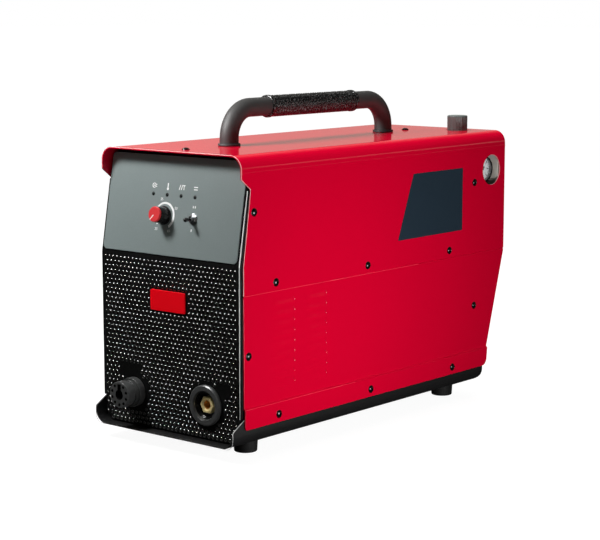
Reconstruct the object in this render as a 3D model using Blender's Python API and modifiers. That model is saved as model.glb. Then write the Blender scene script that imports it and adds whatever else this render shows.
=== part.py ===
"""Plasma cutter power source: a folded steel cabinet with sockets, controls, an air set and a fan.

Metres, +Z up. The front faces -Y, the gauge side faces +X, and the origin is on the floor under the
middle of the whole box. Depths are measured from the lower front panel, positive towards the back.
"""
import math

import bmesh
import bpy
from mathutils import Matrix, Vector

# Cabinet: heights from the floor, depths from the lower front panel
BODY_WIDTH = 0.2050
COVER_TOP = 0.3207
COVER_REAR = 0.4881
SHEET = 0.0015
CLEARANCE = 0.0003
BEND_RADIUS = 0.0146
BEND_STEPS = 6
FOOT_HEIGHT = 0.0155
COVER_SKIRT = 0.1451
HOOD_INSET = 0.0034
HOOD_FLAP = 0.0242
HOOD_NECK = 0.0350
SKIRT_INSET = 0.0056
COVER_TILT = math.radians(8.36)
TUCK_HEIGHT = 0.0140
TUCK_INSET = 0.0250
TUCK_SLOPE = 0.8
SIDE_LIFT = 0.0185
JOGGLE_LIFT = 0.0417
JOGGLE_RUN = 0.0030
SIDE_REAR_STEP = 0.0024
SIDE_CORNER = 0.0055
TRAY_LIP = 0.0123
TRAY_LIP_RISE = 0.0189
TRAY_LIP_SLOPE = math.radians(30.6)

# Front panel
UPPER_FRONT = 0.1143
FRONT_TILT = math.radians(10.0)
FRONT_SIDE_GAP = 0.0016
FRONT_WING_INSET = 0.0007
FRONT_WALL = 0.0025
FRONT_DEPTH = 0.0200
FRONT_CORNER = 0.0125
PLATE_THICKNESS = 0.0010
PLATE_MARGIN = 0.0010
PLATE_FOOT = 0.0029
PLATE_HEAD = 0.0092
PLATE_CORNER = 0.0050
BADGE_WIDTH = 0.0513
BADGE_HEIGHT = 0.0225
BADGE_THICKNESS = 0.0015
BADGE_CORNER = 0.0020
BADGE_DROP = 0.0458

# Louvres in the side panels
LOUVRE_WIDTH = 0.0409
LOUVRE_SLOT = 0.0062
LOUVRE_RISE = 0.0021
LOUVRE_BLADE = 0.0010
LOUVRE_SEAT = 0.0003
LOUVRE_PITCH = 0.01109
LOUVRE_LIFT = 0.0142
LOUVRE_HEADROOM = 0.0130
LOUVRE_COLUMNS = (0.0465, 0.1002)

# Rear panel and its fittings
REAR_RECESS = 0.0096
REAR_TILT = math.radians(16.45)
FAN_SIZE = 0.1200
FAN_DEPTH = 0.0250
FAN_BORE = 0.0575
FAN_LIFT = 0.0825
FAN_BLADES = 7
FAN_HUB = 0.0195
FAN_STRUT = 0.0030
FAN_CORNER = 0.0045
FAN_TIP_GAP = 0.0015
FAN_CHORD = 0.0234
FAN_PITCH = math.radians(35.0)
GUARD_SIZE = 0.1240
GUARD_THICKNESS = 0.0020
GUARD_RINGS = ((0.014, 0.022), (0.027, 0.035), (0.040, 0.048))
GUARD_RIB = 0.0050
SWITCH_X = -0.0300
SWITCH_DROP = 0.0600
SWITCH_PLATE = 0.0480
SWITCH_PLATE_THICKNESS = 0.0040
SWITCH_NECK = 0.0100
SWITCH_SHAFT = 0.0040
SWITCH_BLOCK = (0.0400, 0.0400, 0.0350)
SWITCH_KNOB = 0.0170
SWITCH_KNOB_EDGE = 0.0015
SWITCH_KNOB_STEM = 0.0120
SWITCH_KNOB_BASE = 0.0060
SWITCH_GRIP = (0.0100, 0.0330, 0.0140)
SWITCH_GRIP_CORNER = 0.0033
SWITCH_PLATE_CORNER = 0.0030
GLAND_INSET = 0.0325
GLAND_DROP = 0.1130
GLAND_NECK = 0.0095
GLAND_BORE = 0.0065
GLAND_PROJECTION = 0.0220
GLAND_THREAD = 0.0075
GLAND_HEX = 0.0138
GLAND_HEX_HEIGHT = 0.0085
GLAND_DOME = 0.0124
GLAND_DOME_HEIGHT = 0.0140
GLAND_MOUTH = 0.0085
INLET_DROP = 0.0650
INLET_NECK = 0.0070
INLET_BORE = 0.0019
INLET_PROJECTION = 0.0260
INLET_FLANGE = 0.0098
INLET_FLANGE_HEIGHT = 0.0083
INLET_BARBS = 3
INLET_BARB = 0.0060
INLET_TAIL = 0.0045

# Feet
FOOT_INSET = 0.0325
FOOT_FRONT = 0.0438
FOOT_REAR_MARGIN = 0.0402
FOOT_TOP_RADIUS = 0.0134
FOOT_BOTTOM_RADIUS = 0.0125
FOOT_EDGE = 0.0012

# Carrying handle
HANDLE_OFFSET = 0.0095
HANDLE_ENDS = 0.2111
HANDLE_RISE = 0.0405
HANDLE_RADIUS = 0.0105
HANDLE_BEND = 0.0330
HANDLE_BEND_STEPS = 6
GRIP_ENDS = 0.1237
GRIP_WALL = 0.0013
GRIP_BEAD = 0.0006
GRIP_BEAD_WIDTH = 0.0040
COLLAR_WALL = 0.0016
COLLAR_HEIGHT = 0.0024
HANDLE_BOLT = 0.0030
HANDLE_BOLT_REACH = 0.0150
HANDLE_BOLT_HEAD = 0.0065
HANDLE_BOLT_HEAD_HEIGHT = 0.0045

# Sockets
SOCKET_LIFT = 0.0397
TORCH_INSET = 0.0500
TORCH_PROJECTION = 0.0245
TORCH_RADIUS = 0.0143
TORCH_NECK = 0.0130
TORCH_INSIDE = 0.0350
TORCH_GROOVE = 0.0115
TORCH_GROOVE_WIDTH = 0.0020
TORCH_GROOVE_DEPTH = 0.0008
TORCH_COLLAR_WALL = 0.0014
TORCH_COLLAR_HEIGHT = 0.0080
TORCH_PIN_CIRCLE = 0.0098
TORCH_PIN_HOLE = 0.0015
TORCH_PIN_DEPTH = 0.0100
TORCH_PIN_PLACES = 10
TORCH_BORE = 0.0054
TORCH_BORE_DEPTH = 0.0220
TORCH_KEY_WIDTH = 0.0040
TORCH_KEY_REACH = 0.0110
EARTH_INSET = 0.0487
EARTH_RADIUS = 0.0220
EARTH_PROJECTION = 0.0041
EARTH_RIM = 0.0160
EARTH_EDGE = 0.0012
EARTH_RECESS = 0.0135
EARTH_RECESS_DEPTH = 0.0060
EARTH_BARREL = 0.0160
EARTH_INSIDE = 0.0300
INSERT_FLATS = 0.0170
INSERT_SINK = 0.0005
INSERT_LENGTH = 0.0340
INSERT_BORE = 0.0048
INSERT_BORE_DEPTH = 0.0250
INSERT_KEY_WIDTH = 0.0030

# Controls on the plate, with their rise above the bend of the front panel
LAMP_PLACES = (-0.0306, -0.0102, 0.0102, 0.0306)
LAMP_RISE = 0.0666
LAMP_RADIUS = 0.0019
LAMP_LENGTH = 0.0090
LAMP_DOME = 0.0010
LAMP_PROUD = 0.0006
KNOB_X = -0.0111
KNOB_RISE = 0.0448
KNOB_PROJECTION = 0.0172
KNOB_SKIRT = 0.0102
KNOB_SKIRT_HEIGHT = 0.0028
KNOB_SKIRT_EDGE = 0.0011
KNOB_RADIUS = 0.0090
KNOB_TOP_RADIUS = 0.0086
CAP_THICKNESS = 0.0028
CAP_EDGE = 0.0009
SHAFT_RADIUS = 0.0030
SHAFT_FRONT = 0.0115
SHAFT_BACK = 0.0080
BUSH_WALL = 0.0012
POT_RADIUS = 0.0120
POT_DEPTH = 0.0100
TOGGLE_X = 0.0312
TOGGLE_RISE = 0.0440
TOGGLE_BUSH = 0.0032
TOGGLE_BUSH_WALL = 0.0009
TOGGLE_BUSH_FRONT = 0.0050
TOGGLE_CASE = (0.0130, 0.0120, 0.0095)
TOGGLE_NUT_FLATS = 0.0096
TOGGLE_NUT_HEIGHT = 0.0022
TOGGLE_PIVOT = 0.0030
TOGGLE_LENGTH = 0.0110
TOGGLE_STEM = 0.0011
TOGGLE_TIP = 0.0024
TOGGLE_ROOT = 0.0016
TOGGLE_REST = math.radians(-11.0)
BOARD_WIDTH = 0.1500
BOARD_LENGTH = 0.0720
BOARD_THICKNESS = 0.0016

# Air regulator and gauge, with their drop below the top of the cover
REGULATOR_INSET = 0.0515
REGULATOR_SIZE = 0.0320
REGULATOR_DROP = 0.0843
SHOULDER_DROP = 0.0223
BONNET_RADIUS = 0.0150
BONNET_DROP = 0.0045
SPINDLE_RADIUS = 0.0050
SPINDLE_DROP = 0.0140
SPINDLE_RISE = 0.0117
REGULATOR_KNOB_RADIUS = 0.0124
REGULATOR_KNOB_SINK = 0.0040
REGULATOR_KNOB_HEIGHT = 0.0180
REGULATOR_KNOB_EDGE = 0.0016
KNOB_HOLE_MARGIN = 0.0014
BRACKET_LOW_DROP = 0.0780
BRACKET_HIGH_DROP = 0.0160
BRACKET_REACH = 0.0210
BRACKET_SIDE_GAP = 0.0030
GAUGE_DROP = 0.0461
GAUGE_SINK = 0.0085
GAUGE_RADIUS = 0.0155
GAUGE_WALL = 0.0015
GAUGE_DEPTH = 0.0140
GAUGE_FLOOR = 0.0055
GAUGE_STEM = 0.0040
GAUGE_HOLE = 0.0183
DIAL_THICKNESS = 0.0006
NEEDLE_LENGTH = 0.0105
NEEDLE_TAIL = 0.0040
NEEDLE_WIDTH = 0.0012
NEEDLE_ZERO = math.radians(225.0)
LENS_THICKNESS = 0.0012
LENS_SINK = 0.0010
VALVE_SIZE = 0.0300
VALVE_HEIGHT = 0.0280
VALVE_DROP = 0.0140
VALVE_COIL_RADIUS = 0.0120
VALVE_COIL_LENGTH = 0.0220
VALVE_NIPPLE = 0.0050
HOSE_RADIUS = 0.0040
HOSE_END = 0.0240
HOSE_REACH = 0.4436

# Power stage
CORE_SIZE = (0.0900, 0.0500, 0.0800)
CORE_DEPTH = 0.1300
CORE_LEG = 0.0300
CORE_YOKE = 0.0120
COIL_BULGE = 0.0130
COIL_CORNER = 0.0065
SINK_FINS = 11
SINK_FIN = 0.0030
SINK_PITCH = 0.0110
SINK_HEIGHT = 0.0600
SINK_BASE = 0.0095
SINK_FRONT = 0.1900
SINK_REAR_MARGIN = 0.1185
MODULE_SIZE = (0.0900, 0.0500, 0.0170)
MODULE_DEPTH = 0.2400
POWER_BOARD_WIDTH = 0.1600

# Cover screws
SCREW_FRONT = 0.0290
SCREW_REAR_MARGIN = 0.0680
SCREW_HEAD = 0.0037
SCREW_HEAD_HEIGHT = 0.0022
SCREW_CROWN = 0.0022
SCREW_RIM = 0.0007
SCREW_SHANK = 0.0017
SCREW_REACH = 0.0060

# Screw heads in the sides: depths from the front and from the rear edge of the cover
UPPER_SCREW_FRONT = 0.0228
UPPER_SCREW_REAR = 0.0653
UPPER_SCREW_DROP = 0.0589
SEAM_SCREW_FRONT = 0.0571
SEAM_SCREW_REAR = 0.1162
SEAM_SCREW_LIFT = 0.0090
LOWER_SCREW_FRONT = 0.0131
LOWER_SCREW_REAR = 0.0634
LOWER_SCREW_LIFT = 0.0543
FLANGE_SCREW_FRONT = 0.0592
FLANGE_SCREW_REAR = 0.1099
FLANGE_SCREW_LIFT = 0.0085

ROUND = 24
SMALL_ROUND = 16

HALF_WIDTH = BODY_WIDTH / 2
SEAM_HEIGHT = COVER_TOP - COVER_SKIRT
FRONT_BEND_HEIGHT = COVER_TOP - UPPER_FRONT
TUCK_RUN = TUCK_SLOPE * SHEET
SIDE_BOTTOM = FOOT_HEIGHT + SIDE_LIFT
JOGGLE_HEIGHT = FOOT_HEIGHT + JOGGLE_LIFT
SOCKET_HEIGHT = FOOT_HEIGHT + SOCKET_LIFT
TRAY_FLOOR = FOOT_HEIGHT + SHEET
COVER_CEILING = COVER_TOP - SHEET
FLANGE_FACE = HALF_WIDTH + SHEET + CLEARANCE
PANEL_HALF = HALF_WIDTH - SHEET - FRONT_SIDE_GAP
PANEL_LOW = TRAY_FLOOR + CLEARANCE
PANEL_HIGH = COVER_CEILING - CLEARANCE
PLATE_FACE = CLEARANCE + PLATE_THICKNESS
REAR_FACE = COVER_REAR - REAR_RECESS
FRONT_Y = (TORCH_PROJECTION - REAR_FACE - INLET_PROJECTION) / 2
SIDE_REAR_LOW = COVER_REAR - (SEAM_HEIGHT - JOGGLE_HEIGHT) * math.tan(REAR_TILT)
SIDE_REAR_FOOT = SIDE_REAR_LOW - SIDE_REAR_STEP
TRAY_REAR = SIDE_REAR_FOOT - SIDE_CORNER
SINK_REAR = REAR_FACE - SINK_REAR_MARGIN
LAMP_HEIGHT = FRONT_BEND_HEIGHT + LAMP_RISE
KNOB_HEIGHT = FRONT_BEND_HEIGHT + KNOB_RISE
TOGGLE_HEIGHT = FRONT_BEND_HEIGHT + TOGGLE_RISE
BUSH_RADIUS = SHAFT_RADIUS + CLEARANCE + BUSH_WALL
FOOT_X = HALF_WIDTH - FOOT_INSET
FOOT_DEPTHS = {"front": FOOT_FRONT, "rear": TRAY_REAR - FOOT_REAR_MARGIN}
SCREW_DEPTHS = {"front": SCREW_FRONT, "rear": COVER_REAR - SCREW_REAR_MARGIN}
HANDLE_MIDDLE = (HOOD_INSET + COVER_REAR) / 2 - HANDLE_OFFSET
HANDLE_SPAN = COVER_REAR - HANDLE_ENDS
GRIP_LENGTH = HANDLE_SPAN - GRIP_ENDS
HANDLE_HEIGHT = COVER_TOP + HANDLE_RISE
TORCH_X = TORCH_INSET - HALF_WIDTH
EARTH_X = HALF_WIDTH - EARTH_INSET
REGULATOR_X = HALF_WIDTH - REGULATOR_INSET
REGULATOR_DEPTH = REAR_FACE - 2 * SHEET - 2 * CLEARANCE - REGULATOR_SIZE / 2
REGULATOR_BOTTOM = COVER_TOP - REGULATOR_DROP
GAUGE_HEIGHT = COVER_TOP - GAUGE_DROP
INLET_HEIGHT = COVER_TOP - INLET_DROP
SWITCH_HEIGHT = COVER_TOP - SWITCH_DROP
GLAND_X = GLAND_INSET - HALF_WIDTH
GLAND_HEIGHT = COVER_TOP - GLAND_DROP
FAN_HEIGHT = FOOT_HEIGHT + FAN_LIFT

OUT_FRONT = (math.pi / 2, 0, 0)
OUT_PLATE = (math.pi / 2 - FRONT_TILT, 0, 0)
OUT_REAR = (-math.pi / 2, 0, 0)
OUT_FAN = (-math.pi / 2 - REAR_TILT, 0, 0)
OUT_RIGHT = (0, math.pi / 2, 0)

RED = ("red_paint", (0.52, 0.005, 0.016), 0.28, 0.0)
BLACK_PAINT = ("black_paint", (0.012, 0.012, 0.013), 0.45, 0.0)
BLACK_PLASTIC = ("black_plastic", (0.011, 0.011, 0.012), 0.35, 0.0)
GREY_PLATE = ("grey_plate", (0.22, 0.26, 0.25), 0.45, 0.0)
RED_PLASTIC = ("red_plastic", (0.50, 0.006, 0.012), 0.30, 0.0)
RUBBER = ("rubber", (0.015, 0.015, 0.015), 0.75, 0.0)
FOAM = ("grip_sleeve", (0.020, 0.020, 0.021), 0.70, 0.0)
BRASS = ("brass", (0.60, 0.38, 0.12), 0.28, 1.0)
CHROME = ("chrome", (0.72, 0.72, 0.74), 0.15, 1.0)
ZINC = ("zinc_steel", (0.55, 0.55, 0.53), 0.38, 1.0)
ALUMINIUM = ("aluminium", (0.70, 0.70, 0.71), 0.35, 1.0)
DIAL_WHITE = ("dial_white", (0.85, 0.85, 0.83), 0.50, 0.0)
CLEAR = ("clear_glass", (0.92, 0.94, 0.94), 0.05, 0.0)
SMOKED = ("smoked_lamp", (0.05, 0.06, 0.05), 0.20, 0.0)
BOARD_GREEN = ("board_green", (0.02, 0.12, 0.05), 0.45, 0.0)
COPPER = ("copper_winding", (0.45, 0.16, 0.06), 0.40, 1.0)
FERRITE = ("ferrite", (0.05, 0.05, 0.055), 0.60, 0.0)
HOSE_BLUE = ("hose_blue", (0.02, 0.08, 0.30), 0.40, 0.0)


def behind(depth):
    """Y of a plane at a depth behind the lower front panel."""
    return FRONT_Y + depth


def plate_point(x, height, out=0.0):
    """Point at a height on the tilted part of the front panel, moved outwards along its normal."""
    rise = height - FRONT_BEND_HEIGHT
    y = FRONT_Y + rise * math.tan(FRONT_TILT) - out * math.cos(FRONT_TILT)
    return (x, y, height + out * math.sin(FRONT_TILT))


def fan_point():
    """Middle of the fan opening on the outer face of the sloping lower rear panel."""
    drop = SEAM_HEIGHT - FAN_HEIGHT
    return (0, behind(REAR_FACE - drop * math.tan(REAR_TILT)), FAN_HEIGHT)


def arc(centre, radius, start, end, steps):
    """Points on a circular arc, angles in degrees."""
    angles = [math.radians(start + (end - start) * i / steps) for i in range(steps + 1)]
    return [(centre[0] + radius * math.cos(a), centre[1] + radius * math.sin(a)) for a in angles]


def circle(radius, steps, centre=(0, 0)):
    """Closed outline of a circle."""
    return arc(centre, radius, 0, 360, steps)[:-1]


def rounded(left, right, low, high, radius, steps=4):
    """Closed outline of a rectangle with round corners."""
    corners = ((right - radius, low + radius, -90), (right - radius, high - radius, 0),
               (left + radius, high - radius, 90), (left + radius, low + radius, 180))
    return [p for u, v, a in corners for p in arc((u, v), radius, a, a + 90, steps)]


def smooth_route(points, steps):
    """Points on a Catmull-Rom curve through a route's own points."""
    ends = [2 * points[0] - points[1]] + list(points) + [2 * points[-1] - points[-2]]
    route = []
    for a, b, c, d in zip(ends, ends[1:], ends[2:], ends[3:]):
        for step in range(steps):
            t = step / steps
            route.append(0.5 * (2 * b + (c - a) * t + (2 * a - 5 * b + 4 * c - d) * t * t
                                + (3 * b - a - 3 * c + d) * t ** 3))
    return route + [points[-1]]


def clear_scene():
    """Remove the startup objects."""
    for item in list(bpy.data.objects):
        bpy.data.objects.remove(item, do_unlink=True)


def group(name):
    """A new collection in the scene."""
    made = bpy.data.collections.new(name)
    bpy.context.scene.collection.children.link(made)
    return made


def finish_material(finish):
    """The Principled material of a finish, made the first time it is asked for."""
    name, colour, roughness, metallic = finish
    made = bpy.data.materials.get(name)
    if made is None:
        made = bpy.data.materials.new(name)
        made.use_nodes = True
        shader = made.node_tree.nodes["Principled BSDF"]
        shader.inputs["Base Color"].default_value = (*colour, 1)
        shader.inputs["Roughness"].default_value = roughness
        shader.inputs["Metallic"].default_value = metallic
    return made


def piece(name, mesh, finish, place=(0, 0, 0), turn=(0, 0, 0)):
    """A sub-part of the cutter, placed by its location and rotation."""
    made = bpy.data.objects.new(name, mesh)
    made.location = place
    made.rotation_euler = turn
    mesh.materials.append(finish_material(finish))
    PARTS.objects.link(made)
    return made


def tool(name, mesh, place=(0, 0, 0), turn=(0, 0, 0)):
    """A shape that cuts, trims or joins another, left out of the cutter itself."""
    made = bpy.data.objects.new(name, mesh)
    made.location = place
    made.rotation_euler = turn
    made.hide_render = True
    made.display_type = "WIRE"
    CUTTERS.objects.link(made)
    return made


def boolean(target, shape, operation):
    """A live Boolean of a target with one tool."""
    step = target.modifiers.new(shape.name, "BOOLEAN")
    step.operation = operation
    step.solver = "EXACT"
    step.object = shape


def cut(target, mesh, place=(0, 0, 0), turn=(0, 0, 0)):
    """Take a shape out of a piece."""
    boolean(target, tool(target.name + "_cutter", mesh, place, turn), "DIFFERENCE")


def trim(target, mesh, place=(0, 0, 0), turn=(0, 0, 0)):
    """Keep only what lies inside a shape."""
    boolean(target, tool(target.name + "_trimmer", mesh, place, turn), "INTERSECT")


def fuse(target, mesh, place=(0, 0, 0), turn=(0, 0, 0)):
    """Join a shape to a piece as one body."""
    boolean(target, tool(target.name + "_addition", mesh, place, turn), "UNION")


def mesh_from(build, name="shape"):
    """A mesh from a function that fills a bmesh, welded and with its faces pointing out."""
    shape = bmesh.new()
    build(shape)
    bmesh.ops.remove_doubles(shape, verts=shape.verts, dist=1e-7)
    bmesh.ops.recalc_face_normals(shape, faces=shape.faces)
    mesh = bpy.data.meshes.new(name)
    shape.to_mesh(mesh)
    shape.free()
    return mesh


def boxes(spans):
    """Boxes from pairs of lowest and highest corners, all in one mesh."""
    def build(shape):
        for low, high in spans:
            size = Vector(high) - Vector(low)
            middle = (Vector(high) + Vector(low)) / 2
            place = Matrix.Translation(middle) @ Matrix.Diagonal((*size, 1))
            bmesh.ops.create_cube(shape, size=1, matrix=place)
    return mesh_from(build)


def drums(radius, low, high, places=((0, 0),), sides=SMALL_ROUND, turn=0.0):
    """Upright cylinders of one size at several places, all in one mesh."""
    def build(shape):
        for x, y in places:
            spot = Matrix.Translation((x, y, (low + high) / 2)) @ Matrix.Rotation(turn, 4, "Z")
            bmesh.ops.create_cone(shape, cap_ends=True, segments=sides, radius1=radius,
                                  radius2=radius, depth=high - low, matrix=spot)
    return mesh_from(build)


def curve_mesh(curve):
    """The closed mesh of a curve, with its caps welded."""
    holder = bpy.data.objects.new("outline", curve)
    bpy.context.scene.collection.objects.link(holder)
    evaluated = holder.evaluated_get(bpy.context.evaluated_depsgraph_get())
    mesh = bpy.data.meshes.new_from_object(evaluated)
    bpy.data.objects.remove(holder, do_unlink=True)
    bpy.data.curves.remove(curve)
    welded = mesh_from(lambda shape: shape.from_mesh(mesh))
    bpy.data.meshes.remove(mesh)
    return welded


def slab(outlines, low, high):
    """A flat outline, with any holes, between two heights."""
    curve = bpy.data.curves.new("outline", "CURVE")
    curve.dimensions = "2D"
    curve.fill_mode = "BOTH"
    curve.extrude = (high - low) / 2
    for outline in outlines:
        spline = curve.splines.new("POLY")
        spline.points.add(len(outline) - 1)
        for point, (u, v) in zip(spline.points, outline):
            point.co = (u, v, 0, 1)
        spline.use_cyclic_u = True
    mesh = curve_mesh(curve)
    mesh.transform(Matrix.Translation((0, 0, (low + high) / 2)))
    return mesh


def slab_along_x(outline, low, high):
    """A side outline of Y and Z points, carried across the cabinet."""
    mesh = slab([outline], low, high)
    mesh.transform(Matrix(((0, 0, 1, 0), (1, 0, 0, 0), (0, 1, 0, 0), (0, 0, 0, 1))))
    return mesh


def slab_along_y(outline, low, high):
    """A front outline of X and Z points, carried from front to back."""
    mesh = slab([outline], -high, -low)
    mesh.transform(Matrix(((1, 0, 0, 0), (0, 0, -1, 0), (0, 1, 0, 0), (0, 0, 0, 1))))
    return mesh


def folded_sheet(name, section, start, run, outside, finish):
    """A folded sheet: an open section carried along a run and thickened away from its outside."""
    shape = bmesh.new()
    corners = [shape.verts.new(Vector(start) + Vector(point)) for point in section]
    folds = [shape.edges.new(pair) for pair in zip(corners, corners[1:])]
    grown = bmesh.ops.extrude_edge_only(shape, edges=folds)["geom"]
    moved = [item for item in grown if isinstance(item, bmesh.types.BMVert)]
    bmesh.ops.translate(shape, verts=moved, vec=run)
    bmesh.ops.recalc_face_normals(shape, faces=shape.faces)
    outermost = max(shape.faces, key=lambda face: face.calc_center_median().dot(Vector(outside)))
    if outermost.normal.dot(Vector(outside)) < 0:
        bmesh.ops.reverse_faces(shape, faces=shape.faces)
    mesh = bpy.data.meshes.new(name)
    shape.to_mesh(mesh)
    shape.free()
    made = piece(name, mesh, finish)
    skin = made.modifiers.new("thickness", "SOLIDIFY")
    skin.thickness = SHEET
    skin.offset = -1
    skin.use_even_offset = True
    return made


def turned(name, profile, finish, place, turn=(0, 0, 0), ring=False, steps=ROUND):
    """A turned piece: a profile of radius and height, front to back, swept about its own Z axis."""
    mesh = bpy.data.meshes.new(name)
    links = [(i, i + 1) for i in range(len(profile) - 1)]
    if ring:
        links.append((len(profile) - 1, 0))
    mesh.from_pydata([(radius, 0, height) for radius, height in profile], links, [])
    made = piece(name, mesh, finish, place, turn)
    sweep = made.modifiers.new("sweep", "SCREW")
    sweep.axis = "Z"
    sweep.steps = steps
    sweep.render_steps = steps
    sweep.use_merge_vertices = True
    sweep.merge_threshold = 1e-6
    return made


def soften_shading(items):
    """Shade the round pieces smooth and keep their corners crisp."""
    for item in items:
        if item.data.polygons:
            item.data.shade_smooth()
            item.data.set_sharp_from_angle(angle=math.radians(35))


def axis_empty(name, place, turn=(0, 0, 0)):
    """A marker on a joint's axis, for the pieces that turn or slide there."""
    made = bpy.data.objects.new(name, None)
    made.empty_display_size = 0.02
    made.location = place
    made.rotation_euler = turn
    PARTS.objects.link(made)
    return made


def carry(marker, *items):
    """Parent pieces to a joint marker that shares their place and turn."""
    for item in items:
        item.parent = marker
        item.location = (0, 0, 0)
        item.rotation_euler = (0, 0, 0)


def front_offset(inset, height):
    """Y of the bent front surface moved back by an inset, at a height."""
    bend = FRONT_BEND_HEIGHT - inset * math.tan(FRONT_TILT / 2)
    if height <= bend:
        return behind(inset)
    return behind(inset) + (height - bend) * math.tan(FRONT_TILT)


def front_slice(near, far, low, high):
    """Side outline of the space between two insets of the bent front surface."""
    bends = [FRONT_BEND_HEIGHT - inset * math.tan(FRONT_TILT / 2) for inset in (near, far)]
    return [(front_offset(near, low), low), (behind(near), bends[0]), (front_offset(near, high), high),
            (front_offset(far, high), high), (behind(far), bends[1]), (front_offset(far, low), low)]


def base_tray():
    """U-shaped tray with a lip that stands out under the front panel."""
    wall_top = JOGGLE_HEIGHT - 2 * JOGGLE_RUN
    low = FOOT_HEIGHT + BEND_RADIUS
    side = HALF_WIDTH - BEND_RADIUS
    section = [(HALF_WIDTH, wall_top)] + arc((side, low), BEND_RADIUS, 0, -90, BEND_STEPS)
    section += arc((-side, low), BEND_RADIUS, -90, -180, BEND_STEPS) + [(-HALF_WIDTH, wall_top)]
    front = behind(-TRAY_LIP)
    made = folded_sheet("base_tray", [(x, 0, z) for x, z in section], (0, front, 0),
                        (0, TRAY_REAR + TRAY_LIP, 0), (1, 0, 0), BLACK_PAINT)
    lip_top = FOOT_HEIGHT + TRAY_LIP_RISE
    ramp = (wall_top - lip_top) / math.tan(TRAY_LIP_SLOPE)
    beyond = behind(TRAY_REAR) + SHEET
    above = wall_top + SHEET
    ahead = front - SHEET
    corner = (front, lip_top)
    outline = [(ahead, 0), (beyond, 0), (beyond, above), (front + ramp, above), (front + ramp, wall_top),
               corner, (ahead, lip_top)]
    trim(made, slab_along_x(outline, -BODY_WIDTH, BODY_WIDTH))


def cover_edge(height):
    """Y of the front edge of the cover at a height above the bend of the front panel."""
    return behind(SKIRT_INSET) + (height - FRONT_BEND_HEIGHT) * math.tan(COVER_TILT)


def top_cover():
    """Red cover folded over the top, with a hood at the front and holes for gauge, knob and handle."""
    side = HALF_WIDTH - BEND_RADIUS
    crown = COVER_TOP - BEND_RADIUS
    section = [(HALF_WIDTH, SEAM_HEIGHT)] + arc((side, crown), BEND_RADIUS, 0, 90, BEND_STEPS)
    section += arc((-side, crown), BEND_RADIUS, 90, 180, BEND_STEPS) + [(-HALF_WIDTH, SEAM_HEIGHT)]
    made = folded_sheet("top_cover", [(x, 0, z) for x, z in section], (0, behind(HOOD_INSET), 0),
                        (0, COVER_REAR - HOOD_INSET, 0), (1, 0, 0), RED)
    beyond = behind(COVER_REAR) + SHEET
    above = COVER_TOP + SHEET
    ahead = behind(HOOD_INSET) - SHEET
    under = SEAM_HEIGHT - SHEET
    flap = COVER_TOP - HOOD_FLAP
    neck = COVER_TOP - HOOD_NECK
    outline = [(ahead, above), (ahead, flap), (behind(HOOD_INSET), flap),
               (cover_edge(neck), neck),
               (behind(SKIRT_INSET), FRONT_BEND_HEIGHT), (behind(SKIRT_INSET), under),
               (beyond, under), (beyond, above)]
    trim(made, slab_along_x(outline, -BODY_WIDTH, BODY_WIDTH))
    through = (COVER_TOP - BEND_RADIUS, COVER_TOP + SHEET)
    knob_hole = REGULATOR_KNOB_RADIUS + KNOB_HOLE_MARGIN
    cut(made, drums(knob_hole, *through, [(REGULATOR_X, behind(REGULATOR_DEPTH))], ROUND))
    cut(made, drums(HANDLE_BOLT + CLEARANCE, *through, [(0, y) for y in handle_legs()]))
    screws = [(0, behind(depth)) for depth in SCREW_DEPTHS.values()]
    cut(made, drums(SCREW_SHANK + CLEARANCE, *through, screws))
    cut(made, drums(GAUGE_HOLE, -BEND_RADIUS, BEND_RADIUS, sides=ROUND),
        (HALF_WIDTH, behind(REGULATOR_DEPTH), GAUGE_HEIGHT), OUT_RIGHT)
    upper = screw_row(UPPER_SCREW_FRONT, UPPER_SCREW_REAR, COVER_TOP - UPPER_SCREW_DROP, 2)
    lower = screw_row(SEAM_SCREW_FRONT, SEAM_SCREW_REAR, SEAM_HEIGHT + SEAM_SCREW_LIFT, 3)
    for side in (1, -1):
        screw_heads(made, side, HALF_WIDTH, upper + lower)


def screw_row(front, rear, height, count):
    """Depth and height of a row of screws, spread from one near the front to one near the rear."""
    last = COVER_REAR - rear
    return [(front + (last - front) * number / (count - 1), height) for number in range(count)]


def screw_heads(panel, side, face, spots):
    """Heads of the screws in one side, standing on a face of their panel."""
    places = [(-side * height, behind(depth)) for depth, height in spots]
    fuse(panel, drums(SCREW_HEAD, -SHEET / 2, SCREW_HEAD_HEIGHT, places), (side * face, 0, 0),
         (0, side * OUT_RIGHT[1], 0))


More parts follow.
